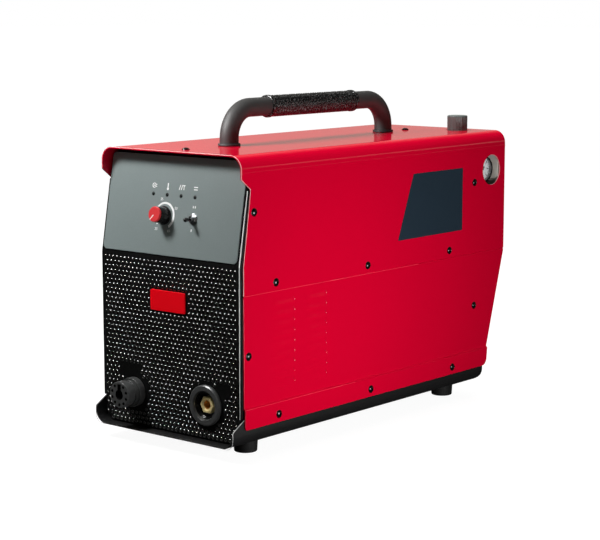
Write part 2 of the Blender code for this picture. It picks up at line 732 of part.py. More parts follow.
def side_panel(name, side):
    """Red lower side panel, tucked under the cover and stepped out over the tray, with louvres."""
    tuck = HALF_WIDTH - SHEET - CLEARANCE
    section = [(tuck, SEAM_HEIGHT + TUCK_HEIGHT), (tuck, SEAM_HEIGHT),
               (HALF_WIDTH, SEAM_HEIGHT - TUCK_RUN), (HALF_WIDTH, JOGGLE_HEIGHT),
               (FLANGE_FACE, JOGGLE_HEIGHT - JOGGLE_RUN), (FLANGE_FACE, SIDE_BOTTOM)]
    made = folded_sheet(name, [(side * x, 0, z) for x, z in section], (0, behind(0), 0),
                        (0, COVER_REAR, 0), (side, 0, 0), RED)
    seam = SEAM_HEIGHT - TUCK_RUN
    top = SEAM_HEIGHT + TUCK_HEIGHT + SHEET
    under = SIDE_BOTTOM - SHEET
    outline = [(behind(SKIRT_INSET), under), (behind(SIDE_REAR_FOOT - SIDE_CORNER), under),
               (behind(SIDE_REAR_FOOT - SIDE_CORNER), SIDE_BOTTOM),
               (behind(SIDE_REAR_FOOT), SIDE_BOTTOM + SIDE_CORNER),
               (behind(SIDE_REAR_LOW), JOGGLE_HEIGHT), (behind(COVER_REAR), seam),
               (behind(COVER_REAR - TUCK_INSET), seam), (behind(COVER_REAR - TUCK_INSET), top),
               (behind(TUCK_INSET), top), (behind(TUCK_INSET), seam), (behind(SKIRT_INSET), seam)]
    trim(made, slab_along_x(outline, -BODY_WIDTH, BODY_WIDTH))
    cut(made, louvre_slots(side))
    fuse(made, louvre_blades(side))
    spots = screw_row(LOWER_SCREW_FRONT, LOWER_SCREW_REAR, JOGGLE_HEIGHT + LOWER_SCREW_LIFT, 2)
    screw_heads(made, side, HALF_WIDTH, spots)
    spots = screw_row(FLANGE_SCREW_FRONT, FLANGE_SCREW_REAR, SIDE_BOTTOM + FLANGE_SCREW_LIFT, 3)
    screw_heads(made, side, FLANGE_FACE, spots)


def louvre_places():
    """Front edge and lower edge of every louvre."""
    lowest = JOGGLE_HEIGHT + LOUVRE_LIFT
    count = 1 + int((SEAM_HEIGHT - LOUVRE_HEADROOM - lowest) / LOUVRE_PITCH)
    rows = [lowest + LOUVRE_PITCH * row for row in range(count)]
    return [(behind(column), z) for column in LOUVRE_COLUMNS for z in rows]


def louvre_slots(side):
    """Slots through the sheet, one behind each louvre blade."""
    near, far = sorted((side * (HALF_WIDTH - 2 * SHEET), side * (HALF_WIDTH + SHEET)))
    spans = [((near, y, z), (far, y + LOUVRE_WIDTH, z + LOUVRE_SLOT)) for y, z in louvre_places()]
    return boxes(spans)


def louvre_blades(side):
    """Blades pressed outwards: each leans out from the upper edge of its slot and is open below."""
    def build(shape):
        for y, z in louvre_places():
            root = side * (HALF_WIDTH - LOUVRE_SEAT)
            tip = side * (HALF_WIDTH + LOUVRE_RISE)
            back = -side * LOUVRE_BLADE
            head = z + LOUVRE_SLOT + SHEET / 2
            edge = [(root, head), (tip, z), (tip + back, z), (root + back, head)]
            verts = [shape.verts.new((x, y + CLEARANCE, h)) for x, h in edge]
            face = shape.faces.new(verts)
            grown = bmesh.ops.extrude_face_region(shape, geom=[face])["geom"]
            moved = [item for item in grown if isinstance(item, bmesh.types.BMVert)]
            bmesh.ops.translate(shape, verts=moved, vec=(0, LOUVRE_WIDTH - 2 * CLEARANCE, 0))
    return mesh_from(build)


def panel_outline(inset=0.0):
    """Front view of the panels that close the cabinet, drawn in by an inset."""
    half = PANEL_HALF - inset
    return rounded(-half, half, PANEL_LOW + inset, PANEL_HIGH - inset, FRONT_CORNER - inset, BEND_STEPS)


def wing_outline():
    """Side view of the front panel's edge where it stands in front of the cover and the side panels."""
    low = FOOT_HEIGHT + TRAY_LIP_RISE + (TRAY_LIP + SKIRT_INSET) * math.tan(TRAY_LIP_SLOPE) + CLEARANCE
    high = COVER_TOP - HOOD_NECK - CLEARANCE
    back = behind(SKIRT_INSET - CLEARANCE)
    return [(FRONT_Y, low), (FRONT_Y, FRONT_BEND_HEIGHT), (front_offset(0, high), high),
            (cover_edge(high) - CLEARANCE, high), (back, FRONT_BEND_HEIGHT), (back, low)]


def front_panel():
    """Black moulded front with a rim all round, bent back above the sockets."""
    reach = (behind(-FRONT_DEPTH), behind(SINK_FRONT))
    made = piece("front_panel", slab_along_x(front_slice(0, FRONT_DEPTH, FOOT_HEIGHT, COVER_TOP),
                                             -HALF_WIDTH, HALF_WIDTH), BLACK_PLASTIC)
    trim(made, slab_along_y(panel_outline(), *reach))
    hollow = tool("front_panel_hollow", slab_along_x(
        front_slice(FRONT_WALL, 2 * FRONT_DEPTH, FOOT_HEIGHT, COVER_TOP), -HALF_WIDTH, HALF_WIDTH))
    trim(hollow, slab_along_y(panel_outline(FRONT_WALL), *reach))
    boolean(made, hollow, "DIFFERENCE")
    for side in (1, -1):
        ends = sorted((side * (PANEL_HALF - FRONT_WALL), side * (HALF_WIDTH - FRONT_WING_INSET)))
        fuse(made, slab_along_x(wing_outline(), *ends))
    through = (-2 * FRONT_WALL, FRONT_WALL)
    cut(made, drums(TORCH_NECK + CLEARANCE, *through, sides=ROUND),
        (TORCH_X, FRONT_Y, SOCKET_HEIGHT), OUT_FRONT)
    cut(made, drums(EARTH_BARREL + CLEARANCE, *through, sides=ROUND),
        (EARTH_X, FRONT_Y, SOCKET_HEIGHT), OUT_FRONT)
    control_holes(made, through)
    cut(made, drums(SCREW_SHANK + CLEARANCE, PANEL_HIGH - 2 * FRONT_WALL, COVER_TOP,
                    [(0, behind(SCREW_DEPTHS["front"]))]))


def control_holes(target, through):
    """Holes for the knob shaft, the toggle switch and the lamps, square to the tilted plate."""
    cut(target, drums(BUSH_RADIUS + CLEARANCE, *through), plate_point(KNOB_X, KNOB_HEIGHT), OUT_PLATE)
    cut(target, drums(TOGGLE_BUSH + CLEARANCE, *through), plate_point(TOGGLE_X, TOGGLE_HEIGHT), OUT_PLATE)
    places = [(x, 0) for x in LAMP_PLACES]
    cut(target, drums(LAMP_RADIUS + CLEARANCE, *through, places), plate_point(0, LAMP_HEIGHT), OUT_PLATE)


def control_plate():
    """Grey plate on the tilted part of the front panel."""
    half = PANEL_HALF - PLATE_MARGIN
    low = PLATE_FOOT / math.cos(FRONT_TILT)
    high = (UPPER_FRONT - PLATE_HEAD) / math.cos(FRONT_TILT)
    mesh = slab([rounded(-half, half, low, high, PLATE_CORNER)], CLEARANCE, PLATE_FACE)
    made = piece("control_plate", mesh, GREY_PLATE, plate_point(0, FRONT_BEND_HEIGHT), OUT_PLATE)
    control_holes(made, (-FRONT_WALL, FRONT_WALL))


def badge_plate():
    """Blank red plate on the lower front panel."""
    outline = rounded(-BADGE_WIDTH / 2, BADGE_WIDTH / 2, -BADGE_HEIGHT / 2, BADGE_HEIGHT / 2, BADGE_CORNER)
    piece("badge_plate", slab([outline], CLEARANCE, CLEARANCE + BADGE_THICKNESS), RED_PLASTIC,
          (0, FRONT_Y, FRONT_BEND_HEIGHT - BADGE_DROP), OUT_FRONT)


def rear_panel():
    """Black rear panel: upright above, sloping in below with the fan opening."""
    drop = SEAM_HEIGHT - FOOT_HEIGHT
    section = [(0, 0, COVER_TOP), (0, 0, SEAM_HEIGHT), (0, -drop * math.tan(REAR_TILT), FOOT_HEIGHT)]
    made = folded_sheet("rear_panel", section, (-HALF_WIDTH, behind(REAR_FACE), 0), (BODY_WIDTH, 0, 0),
                        (0, 1, 0), BLACK_PAINT)
    trim(made, slab_along_y(panel_outline(), behind(SINK_REAR), behind(COVER_REAR)))
    through = (-4 * SHEET, SHEET)
    cut(made, drums(FAN_BORE, *through, sides=ROUND), fan_point(), OUT_FAN)
    for x, height, radius in ((SWITCH_X, SWITCH_HEIGHT, SWITCH_NECK), (GLAND_X, GLAND_HEIGHT, GLAND_NECK),
                              (REGULATOR_X, INLET_HEIGHT, INLET_NECK)):
        cut(made, drums(radius + CLEARANCE, *through, sides=ROUND), (x, behind(REAR_FACE), height), OUT_REAR)


def feet():
    """Four turned rubber feet under the tray."""
    profile = [(0, FOOT_HEIGHT - CLEARANCE), (FOOT_TOP_RADIUS, FOOT_HEIGHT - CLEARANCE),
               (FOOT_BOTTOM_RADIUS, FOOT_EDGE), (FOOT_BOTTOM_RADIUS - FOOT_EDGE, 0), (0, 0)]
    for end, depth in FOOT_DEPTHS.items():
        for side, x in (("right", FOOT_X), ("left", -FOOT_X)):
            turned(f"foot_{end}_{side}", profile, RUBBER, (x, behind(depth), 0), steps=20)


def handle_legs():
    """Y of the two upright legs of the handle."""
    middle = behind(HANDLE_MIDDLE)
    return (middle - HANDLE_SPAN / 2, middle + HANDLE_SPAN / 2)


def handle():
    """Bent tube handle with a sleeve, base collars and the bolts that hold it from below."""
    front, rear = handle_legs()
    seat = COVER_TOP + CLEARANCE
    bend = HANDLE_HEIGHT - HANDLE_BEND
    path = [(front, seat)]
    path += arc((front + HANDLE_BEND, bend), HANDLE_BEND, 180, 90, HANDLE_BEND_STEPS)
    path += arc((rear - HANDLE_BEND, bend), HANDLE_BEND, 90, 0, HANDLE_BEND_STEPS) + [(rear, seat)]
    mesh = tube([Vector((0, y, z)) for y, z in path], HANDLE_RADIUS, resolution=5)
    made = piece("handle_tube", mesh, BLACK_PAINT)
    hole = (COVER_TOP - SHEET, COVER_TOP + HANDLE_BOLT_REACH + SHEET)
    cut(made, drums(HANDLE_BOLT + CLEARANCE, *hole, [(0, front), (0, rear)]))
    half = GRIP_LENGTH / 2
    inner = HANDLE_RADIUS + CLEARANCE
    step = half - GRIP_BEAD_WIDTH
    skin = inner + GRIP_WALL
    bead = skin + GRIP_BEAD
    sleeve = [(inner, half), (bead, half), (bead, step), (skin, step),
              (skin, -step), (bead, -step), (bead, -half), (inner, -half)]
    turned("handle_grip", sleeve, FOAM, (0, behind(HANDLE_MIDDLE), HANDLE_HEIGHT), OUT_REAR, ring=True)
    rim = inner + COLLAR_WALL
    collar = [(inner, COLLAR_HEIGHT), (rim, COLLAR_HEIGHT), (rim, 0), (inner, 0)]
    under = -SHEET - 2 * CLEARANCE
    head = under - HANDLE_BOLT_HEAD_HEIGHT
    bolt = [(0, HANDLE_BOLT_REACH), (HANDLE_BOLT, HANDLE_BOLT_REACH), (HANDLE_BOLT, under),
            (HANDLE_BOLT_HEAD, under), (HANDLE_BOLT_HEAD, head), (0, head)]
    for end, y in (("front", front), ("rear", rear)):
        turned(f"handle_collar_{end}", collar, BLACK_PAINT, (0, y, seat), ring=True)
        turned(f"handle_bolt_{end}", bolt, ZINC, (0, y, seat), steps=SMALL_ROUND)


def tube(points, radius, resolution):
    """A round rod along a path, closed at both ends."""
    curve = bpy.data.curves.new("path", "CURVE")
    curve.dimensions = "3D"
    curve.bevel_depth = radius
    curve.bevel_resolution = resolution
    curve.use_fill_caps = True
    spline = curve.splines.new("POLY")
    spline.points.add(len(points) - 1)
    for spot, point in zip(spline.points, points):
        spot.co = (*point, 1)
    return curve_mesh(curve)


def cover_screws():
    """Two button-head screws in the top of the cover."""
    seat = COVER_TOP + CLEARANCE
    profile = [(0, SCREW_HEAD_HEIGHT), (SCREW_CROWN, SCREW_HEAD_HEIGHT), (SCREW_HEAD, SCREW_RIM),
               (SCREW_HEAD, 0), (SCREW_SHANK, 0), (SCREW_SHANK, -SCREW_REACH), (0, -SCREW_REACH)]
    for end, depth in SCREW_DEPTHS.items():
        turned(f"cover_screw_{end}", profile, BLACK_PAINT, (0, behind(depth), seat), steps=SMALL_ROUND)


def torch_socket():
    """Round torch connector with pin holes, a keyed centre bore and a collar on the panel."""
    place = (TORCH_X, FRONT_Y, SOCKET_HEIGHT)
    face = TORCH_PROJECTION
    edge = TORCH_GROOVE_DEPTH
    groove = TORCH_GROOVE + TORCH_GROOVE_WIDTH
    slim = TORCH_RADIUS - TORCH_GROOVE_DEPTH
    profile = [(0, face), (TORCH_RADIUS - edge, face), (TORCH_RADIUS, face - edge), (TORCH_RADIUS, groove),
               (slim, groove), (slim, TORCH_GROOVE), (TORCH_RADIUS, TORCH_GROOVE),
               (TORCH_RADIUS, CLEARANCE), (TORCH_NECK, CLEARANCE), (TORCH_NECK, -TORCH_INSIDE),
               (0, -TORCH_INSIDE)]
    made = turned("torch_socket_body", profile, BLACK_PLASTIC, place, OUT_FRONT)
    turns = [math.tau * i / TORCH_PIN_PLACES + math.pi / 2 for i in range(1, TORCH_PIN_PLACES)]
    pins = [(TORCH_PIN_CIRCLE * math.cos(a), TORCH_PIN_CIRCLE * math.sin(a)) for a in turns]
    cut(made, drums(TORCH_PIN_HOLE, face - TORCH_PIN_DEPTH, face + SHEET, pins, 8), place, OUT_FRONT)
    cut(made, drums(TORCH_BORE, face - TORCH_BORE_DEPTH, face + SHEET), place, OUT_FRONT)
    key = TORCH_KEY_WIDTH / 2
    cut(made, boxes([((-key, 0, face - TORCH_PIN_DEPTH), (key, TORCH_KEY_REACH, face + 2 * SHEET))]),
        place, OUT_FRONT)
    inner = TORCH_RADIUS + CLEARANCE
    outer = inner + TORCH_COLLAR_WALL
    lip = TORCH_COLLAR_HEIGHT - edge
    ring = [(inner, TORCH_COLLAR_HEIGHT), (outer - edge, TORCH_COLLAR_HEIGHT), (outer, lip),
            (outer, CLEARANCE), (inner, CLEARANCE)]
    turned("torch_socket_collar", ring, BLACK_PLASTIC, place, OUT_FRONT, ring=True)


def earth_socket():
    """Earth return socket: a black shell with a deep rim and a keyed brass insert."""
    place = (EARTH_X, FRONT_Y, SOCKET_HEIGHT)
    corner = INSERT_FLATS / math.sqrt(3)
    bore = corner + CLEARANCE
    rim = EARTH_PROJECTION
    flare = EARTH_RIM - EARTH_EDGE
    shell = [(bore, -EARTH_RECESS_DEPTH), (EARTH_RECESS, -EARTH_RECESS_DEPTH), (EARTH_RECESS, 0),
             (flare, rim - EARTH_EDGE), (EARTH_RIM, rim), (EARTH_RADIUS - EARTH_EDGE, rim),
             (EARTH_RADIUS, rim - EARTH_EDGE), (EARTH_RADIUS, CLEARANCE), (EARTH_BARREL, CLEARANCE),
             (EARTH_BARREL, -EARTH_INSIDE), (bore, -EARTH_INSIDE)]
    turned("earth_socket_shell", shell, BLACK_PLASTIC, place, OUT_FRONT, ring=True)
    hexagon = drums(corner, -INSERT_SINK - INSERT_LENGTH, -INSERT_SINK, sides=6)
    made = piece("earth_socket_insert", hexagon, BRASS, place, OUT_FRONT)
    mouth = SHEET - INSERT_SINK
    floor = -INSERT_SINK - INSERT_BORE_DEPTH
    cut(made, drums(INSERT_BORE, floor, mouth), place, OUT_FRONT)
    key = INSERT_KEY_WIDTH / 2
    reach = INSERT_BORE + key
    cut(made, boxes([((-key, 0, floor + SHEET), (key, reach, mouth + SHEET))]), place, OUT_FRONT)


def lamps():
    """Four small indicator lamps, set through the plate and the panel behind it."""
    front = PLATE_FACE + LAMP_PROUD
    dome = [(LAMP_RADIUS * math.sin(a), front - LAMP_DOME * (1 - math.cos(a)))
            for a in (0, math.pi / 6, math.pi / 3, math.pi / 2)]
    profile = dome + [(LAMP_RADIUS, front - LAMP_LENGTH), (0, front - LAMP_LENGTH)]
    for number, x in enumerate(LAMP_PLACES, 1):
        turned(f"indicator_lamp_{number}", profile, SMOKED, plate_point(x, LAMP_HEIGHT), OUT_PLATE, steps=12)


def current_control():
    """Potentiometer behind the panel, with the shaft, knob and red cap that turn together."""
    place = plate_point(KNOB_X, KNOB_HEIGHT)
    back = -FRONT_WALL - CLEARANCE
    bore = SHAFT_RADIUS + CLEARANCE
    seat = PLATE_FACE + CLEARANCE
    pot = [(bore, PLATE_FACE), (BUSH_RADIUS, PLATE_FACE), (BUSH_RADIUS, back), (POT_RADIUS, back),
           (POT_RADIUS, back - POT_DEPTH), (bore, back - POT_DEPTH)]
    turned("current_potentiometer", pot, ZINC, place, OUT_PLATE, ring=True)
    cap = KNOB_PROJECTION - CAP_THICKNESS
    top = cap - CLEARANCE
    socket = SHAFT_FRONT + CLEARANCE
    body = [(0, top), (KNOB_TOP_RADIUS, top), (KNOB_RADIUS, seat + KNOB_SKIRT_HEIGHT),
            (KNOB_SKIRT, seat + KNOB_SKIRT_HEIGHT - KNOB_SKIRT_EDGE), (KNOB_SKIRT, seat), (bore, seat),
            (bore, socket), (0, socket)]
    knob = turned("current_knob", body, BLACK_PLASTIC, place, OUT_PLATE)
    lid = [(0, KNOB_PROJECTION), (KNOB_TOP_RADIUS - CAP_EDGE, KNOB_PROJECTION),
           (KNOB_TOP_RADIUS, KNOB_PROJECTION - CAP_EDGE), (KNOB_TOP_RADIUS, cap), (0, cap)]
    lid_piece = turned("current_knob_cap", lid, RED_PLASTIC, place, OUT_PLATE)
    rod = [(0, SHAFT_FRONT), (SHAFT_RADIUS, SHAFT_FRONT), (SHAFT_RADIUS, back - SHAFT_BACK),
           (0, back - SHAFT_BACK)]
    shaft = turned("current_shaft", rod, ALUMINIUM, place, OUT_PLATE, steps=SMALL_ROUND)
    carry(axis_empty("current_knob_axis", place, OUT_PLATE), knob, lid_piece, shaft)


def toggle_switch():
    """Toggle switch: case and threaded bush, hexagon nut, and a bat lever on its pivot."""
    place = plate_point(TOGGLE_X, TOGGLE_HEIGHT)
    back = -FRONT_WALL - CLEARANCE
    wide, tall, deep = TOGGLE_CASE
    case = boxes([((-wide / 2, -tall / 2, back - deep), (wide / 2, tall / 2, back))])
    body = piece("toggle_body", case, CHROME, place, OUT_PLATE)
    front = PLATE_FACE + TOGGLE_BUSH_FRONT
    fuse(body, drums(TOGGLE_BUSH, back - deep / 2, front), place, OUT_PLATE)
    root = TOGGLE_PIVOT - TOGGLE_ROOT
    bore = TOGGLE_BUSH - TOGGLE_BUSH_WALL
    cut(body, drums(bore, PLATE_FACE + root - SHEET, front + SHEET), place, OUT_PLATE)
    seat = PLATE_FACE + CLEARANCE
    nut = drums(TOGGLE_NUT_FLATS / math.sqrt(3), seat, seat + TOGGLE_NUT_HEIGHT, sides=6)
    ring = piece("toggle_nut", nut, CHROME, place, OUT_PLATE)
    cut(ring, drums(TOGGLE_BUSH + CLEARANCE, seat - SHEET, seat + 2 * TOGGLE_NUT_HEIGHT), place, OUT_PLATE)
    round_end = arc((0, TOGGLE_LENGTH - TOGGLE_TIP), TOGGLE_TIP, 90, 0, 4)
    lever = round_end + [(TOGGLE_STEM, TOGGLE_ROOT), (TOGGLE_STEM, 0), (0, -TOGGLE_ROOT)]
    pivot = plate_point(TOGGLE_X, TOGGLE_HEIGHT, PLATE_FACE + TOGGLE_PIVOT)
    rest = (OUT_PLATE[0] - TOGGLE_REST, 0, 0)
    bat = turned("toggle_lever", lever, BLACK_PLASTIC, pivot, rest, steps=SMALL_ROUND)
    carry(axis_empty("toggle_axis", pivot, rest), bat)


def control_board():
    """Circuit board behind the plate, held by the potentiometer."""
    front = -FRONT_WALL - 2 * CLEARANCE - POT_DEPTH
    half = BOARD_WIDTH / 2
    low = KNOB_RISE / math.cos(FRONT_TILT) - BOARD_LENGTH / 2
    mesh = slab([rounded(-half, half, low, low + BOARD_LENGTH, SHEET)], front - BOARD_THICKNESS, front)
    piece("control_board", mesh, BOARD_GREEN, plate_point(0, FRONT_BEND_HEIGHT), OUT_PLATE)


def air_regulator():
    """Regulator on a zinc bracket at the rear panel, with a spindle and a lift-and-turn knob."""
    y = behind(REGULATOR_DEPTH)
    half = REGULATOR_SIZE / 2
    shoulder = COVER_TOP - SHOULDER_DROP
    bonnet = COVER_TOP - BONNET_DROP
    block = boxes([((REGULATOR_X - half, y - half, REGULATOR_BOTTOM),
                    (REGULATOR_X + half, y + half, shoulder))])
    body = piece("regulator_body", block, ALUMINIUM)
    at = [(REGULATOR_X, y)]
    fuse(body, drums(BONNET_RADIUS, shoulder - SHEET, bonnet, at, ROUND))
    bore = SPINDLE_RADIUS + CLEARANCE
    cut(body, drums(bore, COVER_TOP - SPINDLE_DROP - CLEARANCE, bonnet + SHEET, at))
    place = (REGULATOR_X, y, COVER_TOP)
    rod = [(0, SPINDLE_RISE), (SPINDLE_RADIUS, SPINDLE_RISE), (SPINDLE_RADIUS, -SPINDLE_DROP),
           (0, -SPINDLE_DROP)]
    spindle = turned("regulator_spindle", rod, BRASS, place, steps=SMALL_ROUND)
    socket = SPINDLE_RISE + CLEARANCE
    low = -REGULATOR_KNOB_SINK
    high = REGULATOR_KNOB_HEIGHT
    edge = REGULATOR_KNOB_EDGE
    profile = [(0, high), (REGULATOR_KNOB_RADIUS - edge, high), (REGULATOR_KNOB_RADIUS, high - edge),
               (REGULATOR_KNOB_RADIUS, low), (bore, low), (bore, socket), (0, socket)]
    knob = turned("regulator_knob", profile, BLACK_PLASTIC, place)
    carry(axis_empty("regulator_axis", place), spindle, knob)
    inner = behind(REAR_FACE) - 2 * SHEET - CLEARANCE
    sheet = boxes([((REGULATOR_X - BRACKET_REACH, inner, COVER_TOP - BRACKET_LOW_DROP),
                    (HALF_WIDTH - SHEET - BRACKET_SIDE_GAP, inner + SHEET, COVER_TOP - BRACKET_HIGH_DROP))])
    bracket = piece("regulator_bracket", sheet, ZINC)
    cut(bracket, drums(INLET_NECK + CLEARANCE, -4 * SHEET, SHEET, sides=ROUND),
        (REGULATOR_X, behind(REAR_FACE), INLET_HEIGHT), OUT_REAR)


def air_inlet():
    """Hose tail that brings the air through the rear panel and bracket to the regulator."""
    back = -2 * SHEET - CLEARANCE
    tail = INLET_PROJECTION
    pitch = (tail - INLET_FLANGE_HEIGHT) / INLET_BARBS
    profile = [(INLET_BORE, tail)]
    for number in range(INLET_BARBS):
        tip = tail - number * pitch
        profile += [(INLET_TAIL, tip), (INLET_BARB, tip - pitch)]
    profile += [(INLET_FLANGE, INLET_FLANGE_HEIGHT), (INLET_FLANGE, CLEARANCE), (INLET_NECK, CLEARANCE),
                (INLET_NECK, back), (INLET_BORE, back)]
    turned("air_inlet", profile, BRASS, (REGULATOR_X, behind(REAR_FACE), INLET_HEIGHT), OUT_REAR, ring=True)


def solenoid_valve():
    """Air valve hung under the regulator by a nipple, with its coil to one side."""
    half = VALVE_SIZE / 2
    y = behind(REGULATOR_DEPTH)
    top = REGULATOR_BOTTOM - VALVE_DROP
    low = top - VALVE_HEIGHT
    body = piece("solenoid_valve", boxes([((REGULATOR_X - half, y - half, low),
                                           (REGULATOR_X + half, y + half, top))]), BRASS)
    fuse(body, drums(VALVE_NIPPLE, top - SHEET, REGULATOR_BOTTOM - CLEARANCE, [(REGULATOR_X, y)]))
    fuse(body, drums(VALVE_COIL_RADIUS, -VALVE_COIL_LENGTH, SHEET),
         (REGULATOR_X - half, y, (low + top) / 2), OUT_RIGHT)


def air_hose():
    """Hose from the valve, over the power stage, to the back of the torch socket."""
    valve = REGULATOR_BOTTOM - VALVE_DROP - VALVE_HEIGHT / 2
    start = TORCH_INSIDE + CLEARANCE
    end = REGULATOR_DEPTH - VALVE_SIZE / 2 - CLEARANCE
    straight = (0, 0.5, 1)
    route = [(TORCH_X, start + HOSE_END * t, SOCKET_HEIGHT) for t in straight]
    bends = [(-0.0590, 0.0900, 0.0760), (-0.0650, 0.1250, 0.1060), (-0.0660, 0.1750, 0.1360),
             (-0.0560, 0.2400, 0.1640), (-0.0200, 0.3150, 0.1880), (0.0250, 0.3750, 0.2050)]
    stretch = end / HOSE_REACH
    route += [(x, depth * stretch, z) for x, depth, z in bends]
    route += [(REGULATOR_X, end - HOSE_END * (1 - t), valve) for t in straight]
    points = [Vector((x, behind(depth), z)) for x, depth, z in route]
    piece("air_hose", tube(smooth_route(points, 3), HOSE_RADIUS, resolution=2), HOSE_BLUE)


def pressure_gauge():
    """Gauge on the regulator, seen through the hole in the cover: case, dial, needle and lens."""
    face = HALF_WIDTH - GAUGE_SINK
    place = (face, behind(REGULATOR_DEPTH), GAUGE_HEIGHT)
    inner = GAUGE_RADIUS - GAUGE_WALL
    stem = REGULATOR_X + REGULATOR_SIZE / 2 + CLEARANCE - face
    case = [(0, -GAUGE_FLOOR), (inner, -GAUGE_FLOOR), (inner, 0), (GAUGE_RADIUS, 0),
            (GAUGE_RADIUS, -GAUGE_DEPTH), (GAUGE_STEM, -GAUGE_DEPTH), (GAUGE_STEM, stem), (0, stem)]
    turned("gauge_case", case, BLACK_PAINT, place, OUT_RIGHT)
    disc = inner - CLEARANCE
    dial_top = -GAUGE_FLOOR + CLEARANCE + DIAL_THICKNESS
    dial_back = dial_top - DIAL_THICKNESS
    dial = [(0, dial_top), (disc, dial_top), (disc, dial_back), (0, dial_back)]
    turned("gauge_dial", dial, DIAL_WHITE, place, OUT_RIGHT)
    lens = [(0, -LENS_SINK), (disc, -LENS_SINK), (disc, -LENS_SINK - LENS_THICKNESS),
            (0, -LENS_SINK - LENS_THICKNESS)]
    turned("gauge_lens", lens, CLEAR, place, OUT_RIGHT)
    half = NEEDLE_WIDTH / 2
    blade = [(NEEDLE_LENGTH, 0), (0, half), (-NEEDLE_TAIL, half), (-NEEDLE_TAIL, -half), (0, -half)]
    low = dial_top + 2 * CLEARANCE
    mesh = slab([blade], low, low + CLEARANCE)
    mesh.transform(Matrix.Rotation(NEEDLE_ZERO, 4, "Z") @ Matrix.Rotation(math.pi / 2, 4, "Z"))
    needle = piece("gauge_needle", mesh, BLACK_PAINT, place, OUT_RIGHT)
    fuse(needle, drums(NEEDLE_WIDTH, dial_top + CLEARANCE, low + 2 * CLEARANCE, sides=12), place, OUT_RIGHT)
    carry(axis_empty("gauge_axis", place, OUT_RIGHT), needle)


def mains_switch():
    """Rotary mains switch: block inside, square plate outside, and a knob on its shaft."""
    place = (SWITCH_X, behind(REAR_FACE), SWITCH_HEIGHT)
    wide, tall, deep = SWITCH_BLOCK
    back = -SHEET - CLEARANCE
    bore = SWITCH_SHAFT + CLEARANCE
    block = boxes([((-wide / 2, -tall / 2, back - deep), (wide / 2, tall / 2, back))])
    body = piece("mains_switch_block", block, BLACK_PLASTIC, place, OUT_REAR)
    top = SWITCH_PLATE_THICKNESS
    fuse(body, drums(SWITCH_NECK, back - SHEET, top, sides=ROUND), place, OUT_REAR)
    cut(body, drums(bore, back - SWITCH_KNOB_STEM - SHEET, top + SHEET), place, OUT_REAR)
    half = SWITCH_PLATE / 2
    outlines = [rounded(-half, half, -half, half, SWITCH_PLATE_CORNER),
                circle(SWITCH_NECK + CLEARANCE, ROUND)]
    piece("mains_switch_plate", slab(outlines, CLEARANCE, top), GREY_PLATE, place, OUT_REAR)
    seat = top + CLEARANCE
    dome = seat + SWITCH_KNOB_BASE
    stem = back - SWITCH_KNOB_STEM
    profile = [(0, dome), (SWITCH_KNOB - SWITCH_KNOB_EDGE, dome), (SWITCH_KNOB, dome - SWITCH_KNOB_EDGE),
               (SWITCH_KNOB, seat), (SWITCH_SHAFT, seat), (SWITCH_SHAFT, stem), (0, stem)]
    knob = turned("mains_switch_knob", profile, BLACK_PLASTIC, place, OUT_REAR)
    wide, tall, high = SWITCH_GRIP
    outline = rounded(-wide / 2, wide / 2, -tall / 2, tall / 2, SWITCH_GRIP_CORNER)
    fuse(knob, slab([outline], dome - SHEET, dome + high), place, OUT_REAR)
    carry(axis_empty("mains_switch_axis", place, OUT_REAR), knob)


def mains_gland():
    """Cable gland through the rear panel, open for a lead, with its locknut inside."""
    place = (GLAND_X, behind(REAR_FACE), GLAND_HEIGHT)
    end = GLAND_PROJECTION
    back = -SHEET - GLAND_THREAD
    profile = [(GLAND_BORE, end), (GLAND_MOUTH, end), (GLAND_DOME, GLAND_DOME_HEIGHT),
               (GLAND_DOME, GLAND_HEX_HEIGHT), (GLAND_HEX, GLAND_HEX_HEIGHT), (GLAND_HEX, CLEARANCE),
               (GLAND_NECK, CLEARANCE), (GLAND_NECK, back), (GLAND_BORE, back)]
    turned("mains_gland", profile, BLACK_PLASTIC, place, OUT_REAR, ring=True)
    seat = -SHEET - CLEARANCE
    outlines = [circle(GLAND_HEX, 6), circle(GLAND_NECK + CLEARANCE, ROUND)]
    piece("mains_gland_locknut", slab(outlines, back + SHEET, seat), BLACK_PLASTIC, place, OUT_REAR)


